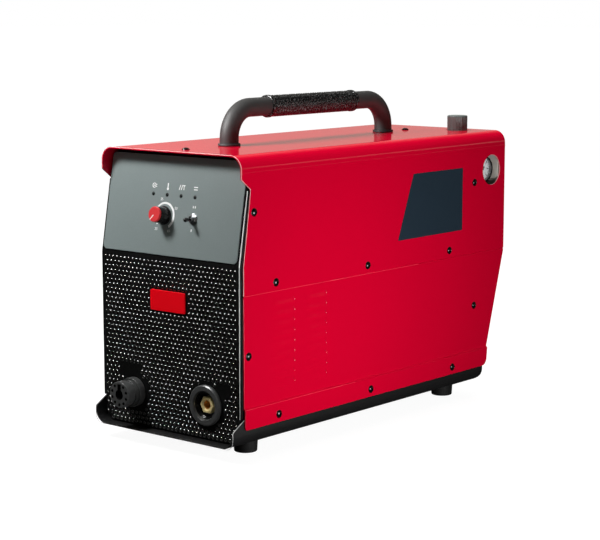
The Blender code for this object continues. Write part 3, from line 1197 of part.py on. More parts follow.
def fan():
    """Fan behind the sloping rear panel, with a moulded guard outside."""
    place = fan_point()
    half = FAN_SIZE / 2
    top = -SHEET - CLEARANCE
    low = top - FAN_DEPTH
    outlines = [rounded(-half, half, -half, half, FAN_CORNER), circle(FAN_BORE, ROUND)]
    frame = piece("fan_frame", slab(outlines, low, top), BLACK_PLASTIC, place, OUT_FAN)
    spider = low + CLEARANCE
    bar = FAN_STRUT
    reach = (FAN_BORE + FAN_SIZE / 2) / 2
    fuse(frame, boxes([((-reach, -bar, spider), (reach, bar, spider + FAN_STRUT))]), place, OUT_FAN)
    fuse(frame, boxes([((-bar, -reach, spider), (bar, reach, spider + FAN_STRUT))]), place, OUT_FAN)
    boss = spider + CLEARANCE
    fuse(frame, drums(FAN_HUB, boss, boss + FAN_STRUT, sides=ROUND), place, OUT_FAN)
    floor = spider + FAN_STRUT + 2 * CLEARANCE
    hub_top = top - FAN_STRUT
    rotor = piece("fan_rotor", drums(FAN_HUB, floor, hub_top, sides=ROUND), BLACK_PLASTIC, place, OUT_FAN)
    fuse(rotor, fan_blades((floor + hub_top) / 2), place, OUT_FAN)
    carry(axis_empty("fan_axis", place, OUT_FAN), rotor)
    half = GUARD_SIZE / 2
    slots = [slot for inner, outer in GUARD_RINGS for slot in guard_slots(inner, outer)]
    outlines = [rounded(-half, half, -half, half, FAN_CORNER)] + slots
    guard = slab(outlines, CLEARANCE, CLEARANCE + GUARD_THICKNESS)
    piece("fan_guard", guard, BLACK_PLASTIC, place, OUT_FAN)


def fan_blades(middle):
    """Pitched flat blades round the hub."""
    tip = FAN_BORE - FAN_TIP_GAP
    root = FAN_HUB - FAN_STRUT
    size = Matrix.Diagonal((tip - root, FAN_CHORD, SHEET, 1))

    def build(shape):
        for number in range(FAN_BLADES):
            round_hub = Matrix.Rotation(math.tau * number / FAN_BLADES, 4, "Z")
            out = Matrix.Translation(((tip + root) / 2, 0, middle))
            place = round_hub @ out @ Matrix.Rotation(FAN_PITCH, 4, "X") @ size
            bmesh.ops.create_cube(shape, size=1, matrix=place)
    return mesh_from(build)


def guard_slots(inner, outer):
    """Four arc-shaped slots between two radii, parted by ribs."""
    slots = []
    for quarter in range(4):
        start = 90 * quarter
        near = math.degrees(GUARD_RIB / 2 / inner)
        far = math.degrees(GUARD_RIB / 2 / outer)
        outline = arc((0, 0), outer, start + far, start + 90 - far, 5)
        slots.append(outline + arc((0, 0), inner, start + 90 - near, start + near, 5))
    return slots


def power_stage():
    """Transformer, heat sink, power module and board on the tray floor."""
    floor = TRAY_FLOOR + CLEARANCE
    wide, deep, tall = CORE_SIZE
    y = behind(CORE_DEPTH)
    core = piece("transformer_core", boxes([((-wide / 2, y - deep / 2, floor), (wide / 2, y + deep / 2,
                                                                               floor + tall))]), FERRITE)
    leg = CORE_LEG / 2
    side = wide / 2 - CORE_YOKE
    low = floor + CORE_YOKE
    high = floor + tall - CORE_YOKE
    windows = [((x0, y - deep, low), (x1, y + deep, high)) for x0, x1 in ((leg, side), (-side, -leg))]
    cut(core, boxes(windows))
    outer = (side - CLEARANCE, deep / 2 + COIL_BULGE)
    inner = (leg + CLEARANCE, deep / 2 + CLEARANCE)
    outlines = [rounded(-outer[0], outer[0], -outer[1], outer[1], COIL_CORNER),
                rounded(-inner[0], inner[0], -inner[1], inner[1], CLEARANCE, 1)]
    piece("transformer_coil", slab(outlines, low + CLEARANCE, high - CLEARANCE), COPPER, (0, y, 0))
    piece("heat_sink", slab_along_y(sink_outline(floor), behind(SINK_FRONT), behind(SINK_REAR)), ALUMINIUM)
    seat = floor + SINK_HEIGHT + CLEARANCE
    wide, deep, tall = MODULE_SIZE
    y = behind(MODULE_DEPTH)
    piece("power_module", boxes([((-wide / 2, y - deep / 2, seat), (wide / 2, y + deep / 2, seat + tall))]),
          BLACK_PLASTIC)
    low = seat + tall + CLEARANCE
    half = POWER_BOARD_WIDTH / 2
    outline = rounded(-half, half, behind(SINK_FRONT), behind(SINK_REAR), SHEET)
    piece("power_board", slab([outline], low, low + BOARD_THICKNESS), BOARD_GREEN)


def sink_outline(floor):
    """Front view of the heat sink: a base plate with fins standing on the tray floor."""
    top = floor + SINK_HEIGHT
    root = top - SINK_BASE
    edge = ((SINK_FINS - 1) * SINK_PITCH + SINK_FIN) / 2
    outline = [(edge, top), (-edge, top)]
    for number in range(SINK_FINS):
        left = number * SINK_PITCH - edge
        right = left + SINK_FIN
        outline += [(left, floor), (right, floor)]
        if number < SINK_FINS - 1:
            outline += [(right, root), (left + SINK_PITCH, root)]
    return outline


clear_scene()
PARTS = group("plasma_cutter")
CUTTERS = group("cutters")
base_tray()
top_cover()
side_panel("side_panel_right", 1)
side_panel("side_panel_left", -1)
front_panel()
control_plate()
badge_plate()
rear_panel()
feet()
handle()
cover_screws()
torch_socket()
earth_socket()
lamps()
current_control()
toggle_switch()
control_board()
air_regulator()
air_inlet()
solenoid_valve()
air_hose()
pressure_gauge()
mains_switch()
mains_gland()
fan()
power_stage()
soften_shading([item for item in PARTS.objects if item.type == "MESH"])
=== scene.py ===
"""Looks of a plasma cutter unit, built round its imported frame.

Lengths are in millimetres until a mesh is made. A shape is its points and its groups of faces."""
import math

import bmesh
import bpy
import numpy as np
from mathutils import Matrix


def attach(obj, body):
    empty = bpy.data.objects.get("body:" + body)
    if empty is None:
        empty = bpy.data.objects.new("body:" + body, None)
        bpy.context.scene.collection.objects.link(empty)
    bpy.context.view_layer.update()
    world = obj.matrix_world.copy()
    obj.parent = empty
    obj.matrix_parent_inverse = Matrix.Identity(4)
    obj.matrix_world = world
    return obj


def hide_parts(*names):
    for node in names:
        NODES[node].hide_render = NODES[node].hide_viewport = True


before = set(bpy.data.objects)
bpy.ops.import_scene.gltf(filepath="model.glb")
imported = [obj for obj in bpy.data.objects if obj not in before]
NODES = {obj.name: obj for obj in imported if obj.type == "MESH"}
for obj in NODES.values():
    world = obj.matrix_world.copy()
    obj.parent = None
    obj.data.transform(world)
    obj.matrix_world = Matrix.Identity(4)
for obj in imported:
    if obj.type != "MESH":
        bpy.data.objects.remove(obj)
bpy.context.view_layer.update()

MM = 0.001
SCENE = bpy.context.scene

# Cabinet sizes, as in the part's source
FRONT = -240.0
HALF = 102.5
TOP = 320.7
SEAM = 175.6
JOGGLE = 57.2
FLANGE = 104.3
FLANGE_TOP = 55.2
SIDE_LOW = 34.0
SKIRT_FRONT = -234.4
HOOD_FRONT = -236.6
REAR_EDGE = 248.1
REAR_FACE = 238.5
SHEET = 1.5
BEND = 14.6
PRESS_LINE = 302.4
PRESS_RISE = 0.17
TUCK = 174.8
TUCK_HALF = 100.7
LOW_CORNER = 8.0
FLOOR_PAN = 15.5
TRAY_REAR = 205.2
LIP_FRONT = -252.3
LIP_LOW = 34.4
LIP_TOP = 51.2
FRONT_BEND = 206.4
TILT = math.radians(10.0)
REAR_TILT = math.radians(16.45)
PANEL_HALF = 99.4
PANEL_LOW = 17.3
PANEL_HIGH = 318.9
PANEL_CORNER = 12.5
WING_HALF = 101.8
WING_LOW = 45.3
WING_HIGH = 285.4
GAP = 0.3

# Places of the fittings
PLATE_FACE = 1.3
BADGE_Z = 160.6
SOCKET_Z = 55.2
TORCH_X = -52.5
EARTH_X = 53.8
KNOB_AT = (-11.1, 251.2)
DIAL_START = 228.0
TOGGLE_AT = (31.2, 250.4)
LAMP_X = (-30.6, -10.2, 10.2, 30.6)
LAMP_Z = 273.0
REGULATOR_AT = (51.0, 218.9)
GAUGE_Z = 274.6
GAUGE_FACE = 94.0
GAUGE_HOLE = 18.3
GAUGE_START = 225.0
HANDLE_Y = (-142.25, 134.75)
HANDLE_Z = 361.2
HANDLE_RADIUS = 10.5
GRIP_HALF = 76.65
FAN_AT = (0.0, 215.6, 98.0)
SWITCH_AT = (-30.0, REAR_FACE, 260.7)
GLAND_AT = (-70.0, REAR_FACE, 207.7)
INLET_AT = (51.0, REAR_FACE, 255.7)

# Louvres and bumps
LOUVRE_COLUMNS = np.array((-193.5, -139.8))
LOUVRE_WIDTH = 40.9
LOUVRE_LOW = 71.4
LOUVRE_PITCH = 11.09
LOUVRE_ROWS = 9
LOUVRE_SLOT = 6.2
LOUVRE_RISE = 0.9
LOUVRE_EASE = 14.0
LOUVRE_END = 2.4
LOUVRE_FEET = LOUVRE_LOW + LOUVRE_PITCH * np.arange(LOUVRE_ROWS)
BUMP_BALL = 2.8
BUMP_PITCH = 6.0
BUMP_ROW = 5.117
BUMP_TOP = 200.8


def leaning(tilt):
    """Directions of a face at the front that leans back by a tilt."""
    sine, cosine = math.sin(tilt), math.cos(tilt)
    return np.array(((1, 0, 0), (0, sine, -cosine), (0, cosine, sine)), float)


SIN_T, COS_T = math.sin(TILT), math.cos(TILT)
SIN_R, COS_R = math.sin(REAR_TILT), math.cos(REAR_TILT)

# Ways a local frame (right, up, out) can face: the columns are those three directions
FACES_UP = np.eye(3)
FACES_FRONT = np.array(((1, 0, 0), (0, 0, -1), (0, 1, 0)), float)
FACES_PLATE = leaning(TILT)
FACES_REAR = np.array(((-1, 0, 0), (0, 0, 1), (0, 1, 0)), float)
FACES_FAN = np.array(((-1, 0, 0), (0, SIN_R, COS_R), (0, COS_R, -SIN_R)), float)
FACES_RIGHT = np.array(((0, 0, 1), (1, 0, 0), (0, 1, 0)), float)
FACES_LEFT = np.array(((0, 0, -1), (-1, 0, 0), (0, 1, 0)), float)
SIDES = ((1, "right", FACES_RIGHT), (-1, "left", FACES_LEFT))


# Shapes

def quads(rows, columns, wrap=False):
    """Faces of a grid: cell (i, j) joins places i, i+1 along the rows and j, j+1 along the columns."""
    i, j = np.meshgrid(np.arange(rows - 1), np.arange(columns if wrap else columns - 1), indexing="ij")
    k = (j + 1) % columns
    corners = (i * columns + j, (i + 1) * columns + j, (i + 1) * columns + k, i * columns + k)
    return np.stack(corners, -1).reshape(-1, 4)


def gather(*shapes):
    """One shape from several: points follow each other, and faces count on from the points before."""
    starts = np.cumsum([0] + [len(points) for points, _ in shapes])
    return (np.concatenate([points for points, _ in shapes]),
            [group + start for (_, groups), start in zip(shapes, starts) for group in groups])


def repeated(shape, places, facing=FACES_UP):
    """Copies of a shape, turned to face a way: every point plus every place, and every face plus each
    copy's first point."""
    points, groups = set_at(shape, (0, 0, 0), facing)
    places = np.asarray(places, float)
    first = np.arange(len(places)) * len(points)
    return ((places[:, None] + points).reshape(-1, 3),
            [(first[:, None, None] + group).reshape(-1, group.shape[1]) for group in groups])


def placed(x, y, z):
    """Points from three coordinates, each one value or one for every point."""
    return np.stack(np.broadcast_arrays(x, y, z), -1)


def around(steps):
    """Even angles round a circle."""
    return np.linspace(0, 2 * np.pi, steps, endpoint=False)


def set_at(shape, place, facing=FACES_UP):
    """A shape turned so that its own right, up and out face the given ways, and moved to its place."""
    points, groups = shape
    return points @ facing.T + np.asarray(place, float), groups


def raised(shape, height):
    """A shape moved out by a height."""
    return set_at(shape, (0, 0, height))


def arc_steps(radius, count):
    """Steps across a rounded corner, closer together near its foot: radius * (1 - cos)."""
    return radius * (1 - np.cos(np.linspace(0, np.pi / 2, count)))


def corner_bite(rise, radius):
    """How far a rounded corner cuts in at a rise above its foot: r - sqrt(r^2 - (r - rise)^2)."""
    drop = np.clip(radius - rise, 0, radius)
    return radius - np.sqrt(radius ** 2 - drop ** 2)


def softened(corners, radii, steps=6, closed=False):
    """A line of corners with each one rounded: near corner P, between its touching points A and B, the arc
    is ((1-t)^2 A + 2t(1-t) w P + t^2 B) / ((1-t)^2 + 2t(1-t) w + t^2), w being the cosine of half the
    turn."""
    corners = np.asarray(corners, float)
    into, onward = corners - np.roll(corners, 1, 0), np.roll(corners, -1, 0) - corners
    long_in, long_on = np.linalg.norm(into, axis=1), np.linalg.norm(onward, axis=1)
    into, onward = into / long_in[:, None], onward / long_on[:, None]
    half = np.arccos(np.clip((into * onward).sum(1), -1, 1)) / 2
    half_leg = 0.495
    room_in, room_on = half_leg * long_in, half_leg * long_on
    if not closed:
        room_in[1], room_on[-2] = 2 * half_leg * long_in[1], 2 * half_leg * long_on[-2]
    wanted = np.broadcast_to(np.asarray(radii, float), half.shape) * np.tan(np.minimum(half, 1.5))
    cut = np.minimum(wanted, np.minimum(room_in, room_on))
    if not closed:
        cut[0] = cut[-1] = 0.0
    t = np.linspace(0, 1, steps)[None, :, None]
    w = np.cos(half)[:, None, None]
    a, b, p = corners - cut[:, None] * into, corners + cut[:, None] * onward, corners
    line = (1 - t) ** 2 * a[:, None] + 2 * t * (1 - t) * w * p[:, None] + t ** 2 * b[:, None]
    line = (line / ((1 - t) ** 2 + 2 * t * (1 - t) * w + t ** 2)).reshape(-1, corners.shape[1])
    return line[np.r_[True, np.linalg.norm(np.diff(line, axis=0), axis=1) > 1e-6]]


def loft(rings, caps=(False, False)):
    """Closed rings joined in order: point (i, j) is place j on ring i. The ends may be capped."""
    rings = np.asarray(rings, float)
    count, sides = rings.shape[:2]
    ends = (np.arange(sides)[None], np.arange(sides)[None, ::-1] + (count - 1) * sides)
    groups = [quads(count, sides, wrap=True)] + [end for end, cap in zip(ends, caps) if cap]
    return rings.reshape(-1, 3), groups


def slab(outline, heights):
    """A flat outline carried between heights, closed at both ends."""
    return loft([placed(*outline.T, height) for height in heights], (True, True))


def polar(radius, angle, height):
    """Points at a radius, an angle and a height."""
    return placed(radius * np.cos(angle), radius * np.sin(angle), height)


def turned(profile, steps=48, outline=None):
    """A profile of radius and height carried round the out axis: point (i, j) lies at radius i on angle j.
    An outline of (radius, height, angle) scales the radius, for flutes and hexagons."""
    radius, height = np.asarray(profile, float).T[:, :, None]
    angle = around(steps)[None]
    scale = np.ones_like(angle) if outline is None else outline(radius, height, angle)
    return loft(polar(radius * scale, angle, height))


def lathe(corners, radii, steps=48, arc=5, outline=None):
    """A turned piece whose profile corners are rounded by the given radii."""
    return turned(softened(corners, radii, arc), steps, outline)


def hexagon(angle):
    """Radius of a hexagon with its corners on radius 1, by angle: cos 30 / cos(angle from a flat's
    middle)."""
    sixth = math.pi / 6
    return math.cos(sixth) / np.cos((angle + sixth) % (2 * sixth) - sixth)


def six_sided(weigh, turn=0.0):
    """Outline that draws a profile to a hexagon, by a weight from 0 to 1 that depends on radius and
    height."""
    def outline(radius, height, angle):
        return 1 + weigh(radius, height) * (hexagon(angle + turn) - 1)
    return outline


def ball_cap(radius, degrees, steps):
    """The cap of a ball: radius and height are the sine and cosine of an angle from its top."""
    turn = np.radians(degrees)
    return turned(radius * np.column_stack([np.sin(turn), np.cos(turn) - math.cos(turn[0])]), steps)


def bead(path, radius, aside, steps=8):
    """A round line: at each point of a path, a circle spanned by the path's two sides, the first of them
    square to the path and to a given direction."""
    path = np.asarray(path, float)
    along = np.gradient(path, axis=0)
    along /= np.linalg.norm(along, axis=1)[:, None]
    first = np.cross(along, aside)
    first /= np.linalg.norm(first, axis=1)[:, None]
    second = np.cross(along, first)
    angle = around(steps)[None, :, None]
    rings = path[:, None] + radius * (np.cos(angle) * first[:, None] + np.sin(angle) * second[:, None])
    return loft(rings, (True, True))


def pierced(u_lines, v_lines, holes, parts=10):
    """A flat grid with round holes: each hole's square of cells is left out, and the square's edge points
    are joined to the point of the rim at the same angle. A hole is (u, v, radius, half the square)."""
    u = [np.asarray(u_lines, float)] + [np.linspace(c - s, c + s, parts + 1) for c, _, _, s in holes]
    v = [np.asarray(v_lines, float)] + [np.linspace(c - s, c + s, parts + 1) for _, c, _, s in holes]
    u, v = (np.unique(np.round(np.concatenate(lines), 4)) for lines in (u, v))
    u, v = (lines[np.r_[True, np.diff(lines) > 0.02]] for lines in (u, v))
    points = np.stack(np.meshgrid(u, v, indexing="ij"), -1).reshape(-1, 2)
    cells = quads(len(u), len(v))
    middle = points[cells].mean(1)
    added, groups, count = [points], [], len(points)
    keep = np.ones(len(cells), bool)
    for cu, cv, radius, half in holes:
        keep &= np.abs(middle - (cu, cv)).max(1) > half
        off = points - (cu, cv)
        edge = np.flatnonzero(np.abs(np.abs(off).max(1) - half) < 0.03)
        angle = np.arctan2(off[edge, 1], off[edge, 0])
        edge, angle = edge[np.argsort(angle)], np.sort(angle)
        added.append(np.column_stack([cu + radius * np.cos(angle), cv + radius * np.sin(angle)]))
        rim = count + np.arange(len(edge))
        groups.append(np.stack([edge, np.roll(edge, -1), np.roll(rim, -1), rim], -1))
        count += len(edge)
    return np.concatenate(added), [cells[keep]] + groups, (len(u), len(v))


def moulded_face(half, low, high, corner, edge, back, holes=(), step=12.0, levels=()):
    """A flat face with rounded corners and edges: rows of a pierced grid are drawn in to the outline's
    width at their height, then rings follow its border out by edge * sin and back by edge * (1 - cos), and
    on to the back."""
    rim, wide, deep, tall = corner - edge, half - edge, low + edge, high - edge
    arc = arc_steps(rim, 8)
    u_lines = np.linspace(-wide, wide, max(2, int(2 * wide / step)) + 1)
    v_lines = np.concatenate([deep + arc, tall - arc, np.arange(deep + rim, tall - rim, step), levels])
    flat, groups, (columns, rows) = pierced(u_lines, v_lines, list(holes))
    u, v = flat.T
    flat = np.column_stack([u * (1 - corner_bite(np.minimum(v - deep, tall - v), rim) / wide), v])
    foot = np.arange(columns) * rows
    head = foot + rows - 1
    right, left = (columns - 1) * rows + np.arange(1, rows), np.arange(rows - 2, 0, -1)
    border = np.concatenate([foot, right, head[-2::-1], left])
    centre = np.clip(flat[border], (-wide + rim, deep + rim), (wide - rim, tall - rim))
    out = (flat[border] - centre) / rim
    turn = np.linspace(0, np.pi / 2, 5)[:, None, None]
    rings = centre + (rim + edge * np.sin(turn)) * out
    depth = np.broadcast_to(-edge * (1 - np.cos(turn)), rings[..., :1].shape)
    rings = np.concatenate([rings, depth], -1)
    rings = np.concatenate([rings, [placed(*rings[-1, :, :2].T, -back)]])
    return gather((placed(*flat.T, 0), groups), loft(rings))


def lettering(text, size, facing, place):
    """Flat figures of a given height, centred on a place: a text curve made a mesh, turned and moved."""
    curve = bpy.data.curves.new("lettering", "FONT")
    curve.body, curve.size, curve.extrude = text, size, 0.04
    curve.align_x, curve.align_y = "CENTER", "CENTER"
    holder = bpy.data.objects.new("lettering", curve)
    SCENE.collection.objects.link(holder)
    mesh = bpy.data.meshes.new_from_object(holder.evaluated_get(bpy.context.evaluated_depsgraph_get()))
    points = np.empty(len(mesh.vertices) * 3)
    mesh.vertices.foreach_get("co", points)
    groups = [np.array([list(face.vertices)]) for face in mesh.polygons]
    bpy.data.objects.remove(holder)
    bpy.data.meshes.remove(mesh)
    bpy.data.curves.remove(curve)
    return set_at((points.reshape(-1, 3), groups), place, facing)


def ribbon(inner, outer, start, end, steps=48, height=0.08):
    """A flat arc band: at each angle, a thin section between two radii, the outer one fixed or by angle."""
    angle = np.radians(np.linspace(start, end, steps))[:, None]
    inside, outside = np.broadcast_to(inner, steps), np.broadcast_to(outer, steps)
    radius = np.stack([inside, outside, outside, inside], -1)
    return loft(polar(radius, angle, (0, 0, height, height)), (True, True))


def spun(outline, degrees):
    """A flat outline turned by an angle."""
    c, s = math.cos(math.radians(degrees)), math.sin(math.radians(degrees))
    return outline @ np.array(((c, s), (-s, c)))


def bar(x, y, wide, tall, height=0.08, turn=0.0):
    """A thin printed bar centred on x and y and turned by an angle: an outline of four corners, twice."""
    corner = np.array(((-1, -1), (1, -1), (1, 1), (-1, 1))) * (wide / 2, tall / 2)
    return slab(spun(corner, turn) + (x, y), (0, height))


def spoke(reach, degrees, long, wide, height):
    """A thin bar along a radius, its middle at a reach from the centre."""
    x, y, _ = polar(reach, math.radians(degrees), 0)
    return bar(x, y, long, wide, height, degrees)


def piece(name, shape, finish, stands_for=(), body="cabinet", thick=0.0, edge=0.0, outside=None,
          crease=38):
    """A finished piece: the shape's points welded into a mesh, given its wall and edges, set on its
    body."""
    points, groups = shape
    mesh = bpy.data.meshes.new(name)
    mesh.from_pydata((points * MM).tolist(), [], [face for group in groups for face in group.tolist()])
    weld = bmesh.new()
    weld.from_mesh(mesh)
    bmesh.ops.remove_doubles(weld, verts=weld.verts, dist=2e-6)
    bmesh.ops.recalc_face_normals(weld, faces=weld.faces)
    if outside is not None:
        farthest = max(weld.faces, key=lambda face: face.calc_center_median().dot(outside))
        if farthest.normal.dot(outside) < 0:
            bmesh.ops.reverse_faces(weld, faces=weld.faces)
    weld.to_mesh(mesh)
    weld.free()
    mesh.shade_smooth()
    mesh.set_sharp_from_angle(angle=math.radians(crease))
    mesh.materials.append(finish)
    made = bpy.data.objects.new(name, mesh)
    SCENE.collection.objects.link(made)
    if thick:
        wall = made.modifiers.new("wall", "SOLIDIFY")
        wall.thickness, wall.offset = thick * MM, -1
    if edge:
        soft = made.modifiers.new("edges", "BEVEL")
        soft.width, soft.segments = edge * MM, 3
        soft.limit_method, soft.angle_limit = "ANGLE", math.radians(50)
    made.modifiers.new("shading", "WEIGHTED_NORMAL").keep_sharp = True
    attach(made, body)
    if stands_for:
        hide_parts(*stands_for)
    return made


# Shader nodes

def add_node(tree, kind, inputs=(), **settings):
    """A shader node with its settings, each input linked to a socket or given a value."""
    made = tree.nodes.new("ShaderNode" + kind)
    for key, value in settings.items():
        setattr(made, key, value)
    for key, value in dict(inputs).items():
        if isinstance(value, bpy.types.NodeSocket):
            tree.links.new(value, made.inputs[key])
        else:
            made.inputs[key].default_value = value
    return made


def ranged(tree, value, start, end, low, high, change="LINEAR"):
    """A value carried from one range to another."""
    inputs = {"Value": value, "From Min": start, "From Max": end, "To Min": low, "To Max": high}
    return add_node(tree, "MapRange", inputs, interpolation_type=change).outputs["Result"]


def worked(tree, operation, first, second):
    """Two values put through an operation."""
    return add_node(tree, "Math", {0: first, 1: second}, operation=operation).outputs[0]


def mixed(tree, factor, first, second):
    """A colour between two."""
    return add_node(tree, "Mix", {0: factor, 6: first, 7: second}, data_type="RGBA").outputs[2]


# Finishes

def finish(name, colour, rough, metal=0.0, specular=0.5, tint=0.08, tint_scale=40.0, rough_spread=0.06,
           grain=0.0, grain_scale=900.0, stretch=(1, 1, 1), specks_and_glints=None, alpha=1.0, index=1.5):
    """A finish on Object coordinates: colour and roughness drift with soft noise, specks of a second colour
    may show (on the grip they are painted glints), and a fine noise raises the grain."""
    made = bpy.data.materials.new(name)
    made.use_nodes = True
    tree = made.node_tree
    shader = tree.nodes["Principled BSDF"].inputs
    plain = {"Metallic": metal, "Specular IOR Level": specular, "Alpha": alpha, "IOR": index}
    for key, value in plain.items():
        shader[key].default_value = value
    place = add_node(tree, "TexCoord").outputs["Object"]
    place = add_node(tree, "Mapping", {"Vector": place, "Scale": stretch}).outputs["Vector"]

    def noise(scale, detail):
        return add_node(tree, "TexNoise", {"Vector": place, "Scale": scale, "Detail": detail}).outputs["Fac"]

    dark, light = ((*(min(1.0, c * (1 + s * tint)) for c in colour), 1) for s in (-1, 1))
    base = mixed(tree, noise(tint_scale, 4), dark, light)
    if specks_and_glints is not None:
        shows = ranged(tree, noise(grain_scale * 0.6, 2), 0.52, 0.70, 0, specks_and_glints[1])
        base = mixed(tree, shows, base, (*specks_and_glints[0], 1))
    tree.links.new(base, shader["Base Color"])
    drift = ranged(tree, noise(120, 3), 0.25, 0.75, rough - rough_spread, rough + rough_spread)
    tree.links.new(drift, shader["Roughness"])
    if grain:
        bump = {"Strength": grain, "Distance": 0.0004, "Height": noise(grain_scale, 3)}
        tree.links.new(add_node(tree, "Bump", bump).outputs["Normal"], shader["Normal"])
    return made


def linear(*srgb):
    """Linear colour of a display colour given from 0 to 255."""
    value = np.asarray(srgb, float) / 255
    return tuple(np.where(value <= 0.04045, value / 12.92, ((value + 0.055) / 1.055) ** 2.4))


RED = finish("red_gloss_paint", (0.62, 0.0003, 0.0235), 0.10, specular=0.30, tint=0.03, tint_scale=9,
             rough_spread=0.03, grain=0.04, grain_scale=700)
# Pale pink for beads on the hood's front edge, the louvres' rear ends and the gauge hole's rear edge: painted
# highlight.
PINK_HIGHLIGHT = finish("painted_highlight_pink", (0.95, 0.46, 0.48), 0.28, tint=0.15, tint_scale=260, grain=0.1)
# Light red with lighter patches for beads up the side panels' front edges and along the front part of the
# seam and flange: painted highlight.
RED_HIGHLIGHT = finish("painted_highlight_red", (0.80, 0.024, 0.062), 0.20, specular=0.3, tint=0.05, grain_scale=55,
                  specks_and_glints=((0.90, 0.085, 0.12), 0.8))
BLACK_COAT = finish("black_powder_coat", (0.0095, 0.0095, 0.0098), 0.45, specular=0.28, grain=0.22,
                    grain_scale=1600)
# White for a bead up the leaning part of the right front corner: painted highlight.
WHITE_HIGHLIGHT = finish("painted_highlight_white", (0.95, 0.95, 0.95), 0.30, tint=0.1, tint_scale=160)
# Grey for beads along the tray's front edge and up the upright part of the right front corner: painted
# highlight.
GREY_HIGHLIGHT = finish("painted_highlight_grey", (0.55, 0.55, 0.55), 0.30, tint=0.4, tint_scale=160, grain=0.1)
MOULDED = finish("black_moulded_plastic", (0.0050, 0.0051, 0.0052), 0.50, specular=0.05, grain=0.16,
                 grain_scale=1300)
REAR_COAT = finish("dark_powder_coat", (0.022, 0.022, 0.023), 0.42, specular=0.4, grain=0.25,
                   grain_scale=1600)
REAR_PLASTIC = finish("dark_moulded_plastic", (0.032, 0.033, 0.034), 0.38, grain=0.16, grain_scale=1300)
GLOSSY_EDGE = finish("black_moulded_edge", (0.0050, 0.0051, 0.0052), 0.20, specular=0.7, grain=0.03,
                     grain_scale=1300)
BUMP = finish("glossy_bumps", (0.0030, 0.0031, 0.0032), 0.065, specular=1.0, rough_spread=0.01, grain=0.01,
              grain_scale=1300, index=1.8)
SATIN = finish("grey_satin_plate", (0.196, 0.236, 0.235), 0.46, specular=0.25, tint=0.05, tint_scale=25,
               grain=0.14, grain_scale=2600, specks_and_glints=((0.27, 0.315, 0.31), 0.35))
BADGE = finish("red_badge", (0.95, 0.0015, 0.010), 0.38, specular=0.06, tint=0.04, grain=0.05)
CAP = finish("red_knob_cap", (0.68, 0.030, 0.035), 0.42, specular=0.25, tint=0.05, grain=0.08)
KNOB = finish("black_knob_plastic", (0.0070, 0.0070, 0.0072), 0.26, specular=0.35, grain=0.06)
PULL = finish("charcoal_knob_plastic", (0.104, 0.128, 0.124), 0.30, grain=0.03)
SOCKET = finish("socket_plastic", (0.060, 0.062, 0.062), 0.34, specular=0.45, grain=0.24, grain_scale=1500)
RUBBER = finish("foot_rubber", (0.0070, 0.0070, 0.0070), 0.65, specular=0.25, grain=0.25, grain_scale=1500)
# The grip's grey specks stand in for glints: painted highlight on black rubber.
GRIP = finish("grip_rubber_painted_glints", (0.0055, 0.0055, 0.0057), 0.24, grain=0.30, specks_and_glints=((0.13, 0.13, 0.13), 0.75))
TUBE = finish("handle_enamel", (0.034, 0.0335, 0.033), 0.60, grain=0.14, grain_scale=1500)
BRASS = finish("turned_brass", (0.98, 0.76, 0.36), 0.28, metal=0.30, tint=0.12, tint_scale=160, grain=0.06)
# Darker brass for the insert's bore than for its hexagon: painted shade inside the bore.
SHADED_BRASS = finish("bore_brass_painted_shade", (0.66, 0.36, 0.09), 0.40, metal=0.4, tint=0.2, tint_scale=160, grain=0.06)
NICKEL = finish("nickel_plate", (0.40, 0.41, 0.42), 0.30, metal=1.0, tint=0.06, tint_scale=200)
STEEL = finish("black_oxide_screws", (0.0028, 0.0028, 0.0030), 0.17, specular=0.60, tint=0.2, tint_scale=300)
ZINC = finish("zinc_sheet", (0.62, 0.59, 0.53), 0.48, metal=0.1, specular=0.4, tint=0.10, tint_scale=90,
              grain=0.06)
ALLOY = finish("cast_alloy", (0.60, 0.59, 0.56), 0.46, metal=0.3, tint=0.10, tint_scale=120, grain=0.10)
DIAL = finish("dial_card", (0.92, 0.94, 0.97), 0.50, specular=0.3, tint=0.02, grain=0.03)
PRINT = finish("white_print", (0.93, 0.94, 0.94), 0.55, specular=0.3, tint=0.03, grain=0.03)
INK = finish("black_print", (0.010, 0.010, 0.011), 0.5, specular=0.3, tint=0.1, grain=0.03)
LABEL = finish("dark_label_film", linear(34, 47, 58), 0.42, specular=0.10, tint=0.05, tint_scale=30,
               grain=0.05, grain_scale=1800)
SMOKE = finish("smoked_lens", (0.012, 0.014, 0.014), 0.16, tint=0.1)
GLASS = finish("clear_lens", (0.9, 0.93, 0.95), 0.05, tint=0.01, rough_spread=0.02, alpha=0.10)
BOARD = finish("green_board", (0.015, 0.10, 0.035), 0.45, tint=0.35, tint_scale=260, grain=0.15,
               specks_and_glints=((0.45, 0.33, 0.12), 0.5))
COPPER = finish("enamelled_copper", (0.55, 0.22, 0.07), 0.32, metal=1.0, tint=0.25, tint_scale=60, grain=0.5,
                grain_scale=300, stretch=(0.05, 0.05, 3))
FERRITE = finish("ferrite_core", (0.035, 0.036, 0.038), 0.60, tint=0.15, tint_scale=160, grain=0.25)
HOSE = finish("blue_air_hose", (0.015, 0.07, 0.30), 0.34, tint=0.10, tint_scale=80, grain=0.08)
GREY_PLASTIC = finish("grey_switch_plate", (0.20, 0.21, 0.21), 0.46, specular=0.3, tint=0.06, grain=0.12)


# Sheet-metal cabinet

def cover_section():
    """The cover's section: up one side, over the top and down the other, with a bend at each corner."""
    return softened(((HALF, SEAM), (HALF, TOP), (-HALF, TOP), (-HALF, SEAM)), BEND, 15)


def cover_front(z):
    """Depth of the cover's front edge by height, and its corners' heights: an upright skirt, a leaning
    upper front and a step out to the hood."""
    line = softened(((SEAM, SKIRT_FRONT), (206.0, SKIRT_FRONT), (285.7, -222.7), (296.5, HOOD_FRONT),
                     (TOP, HOOD_FRONT)), (0, 20, 2.5, 2.5, 0), 5)
    return np.interp(z, line[:, 0], line[:, 1]), line[:, 0]


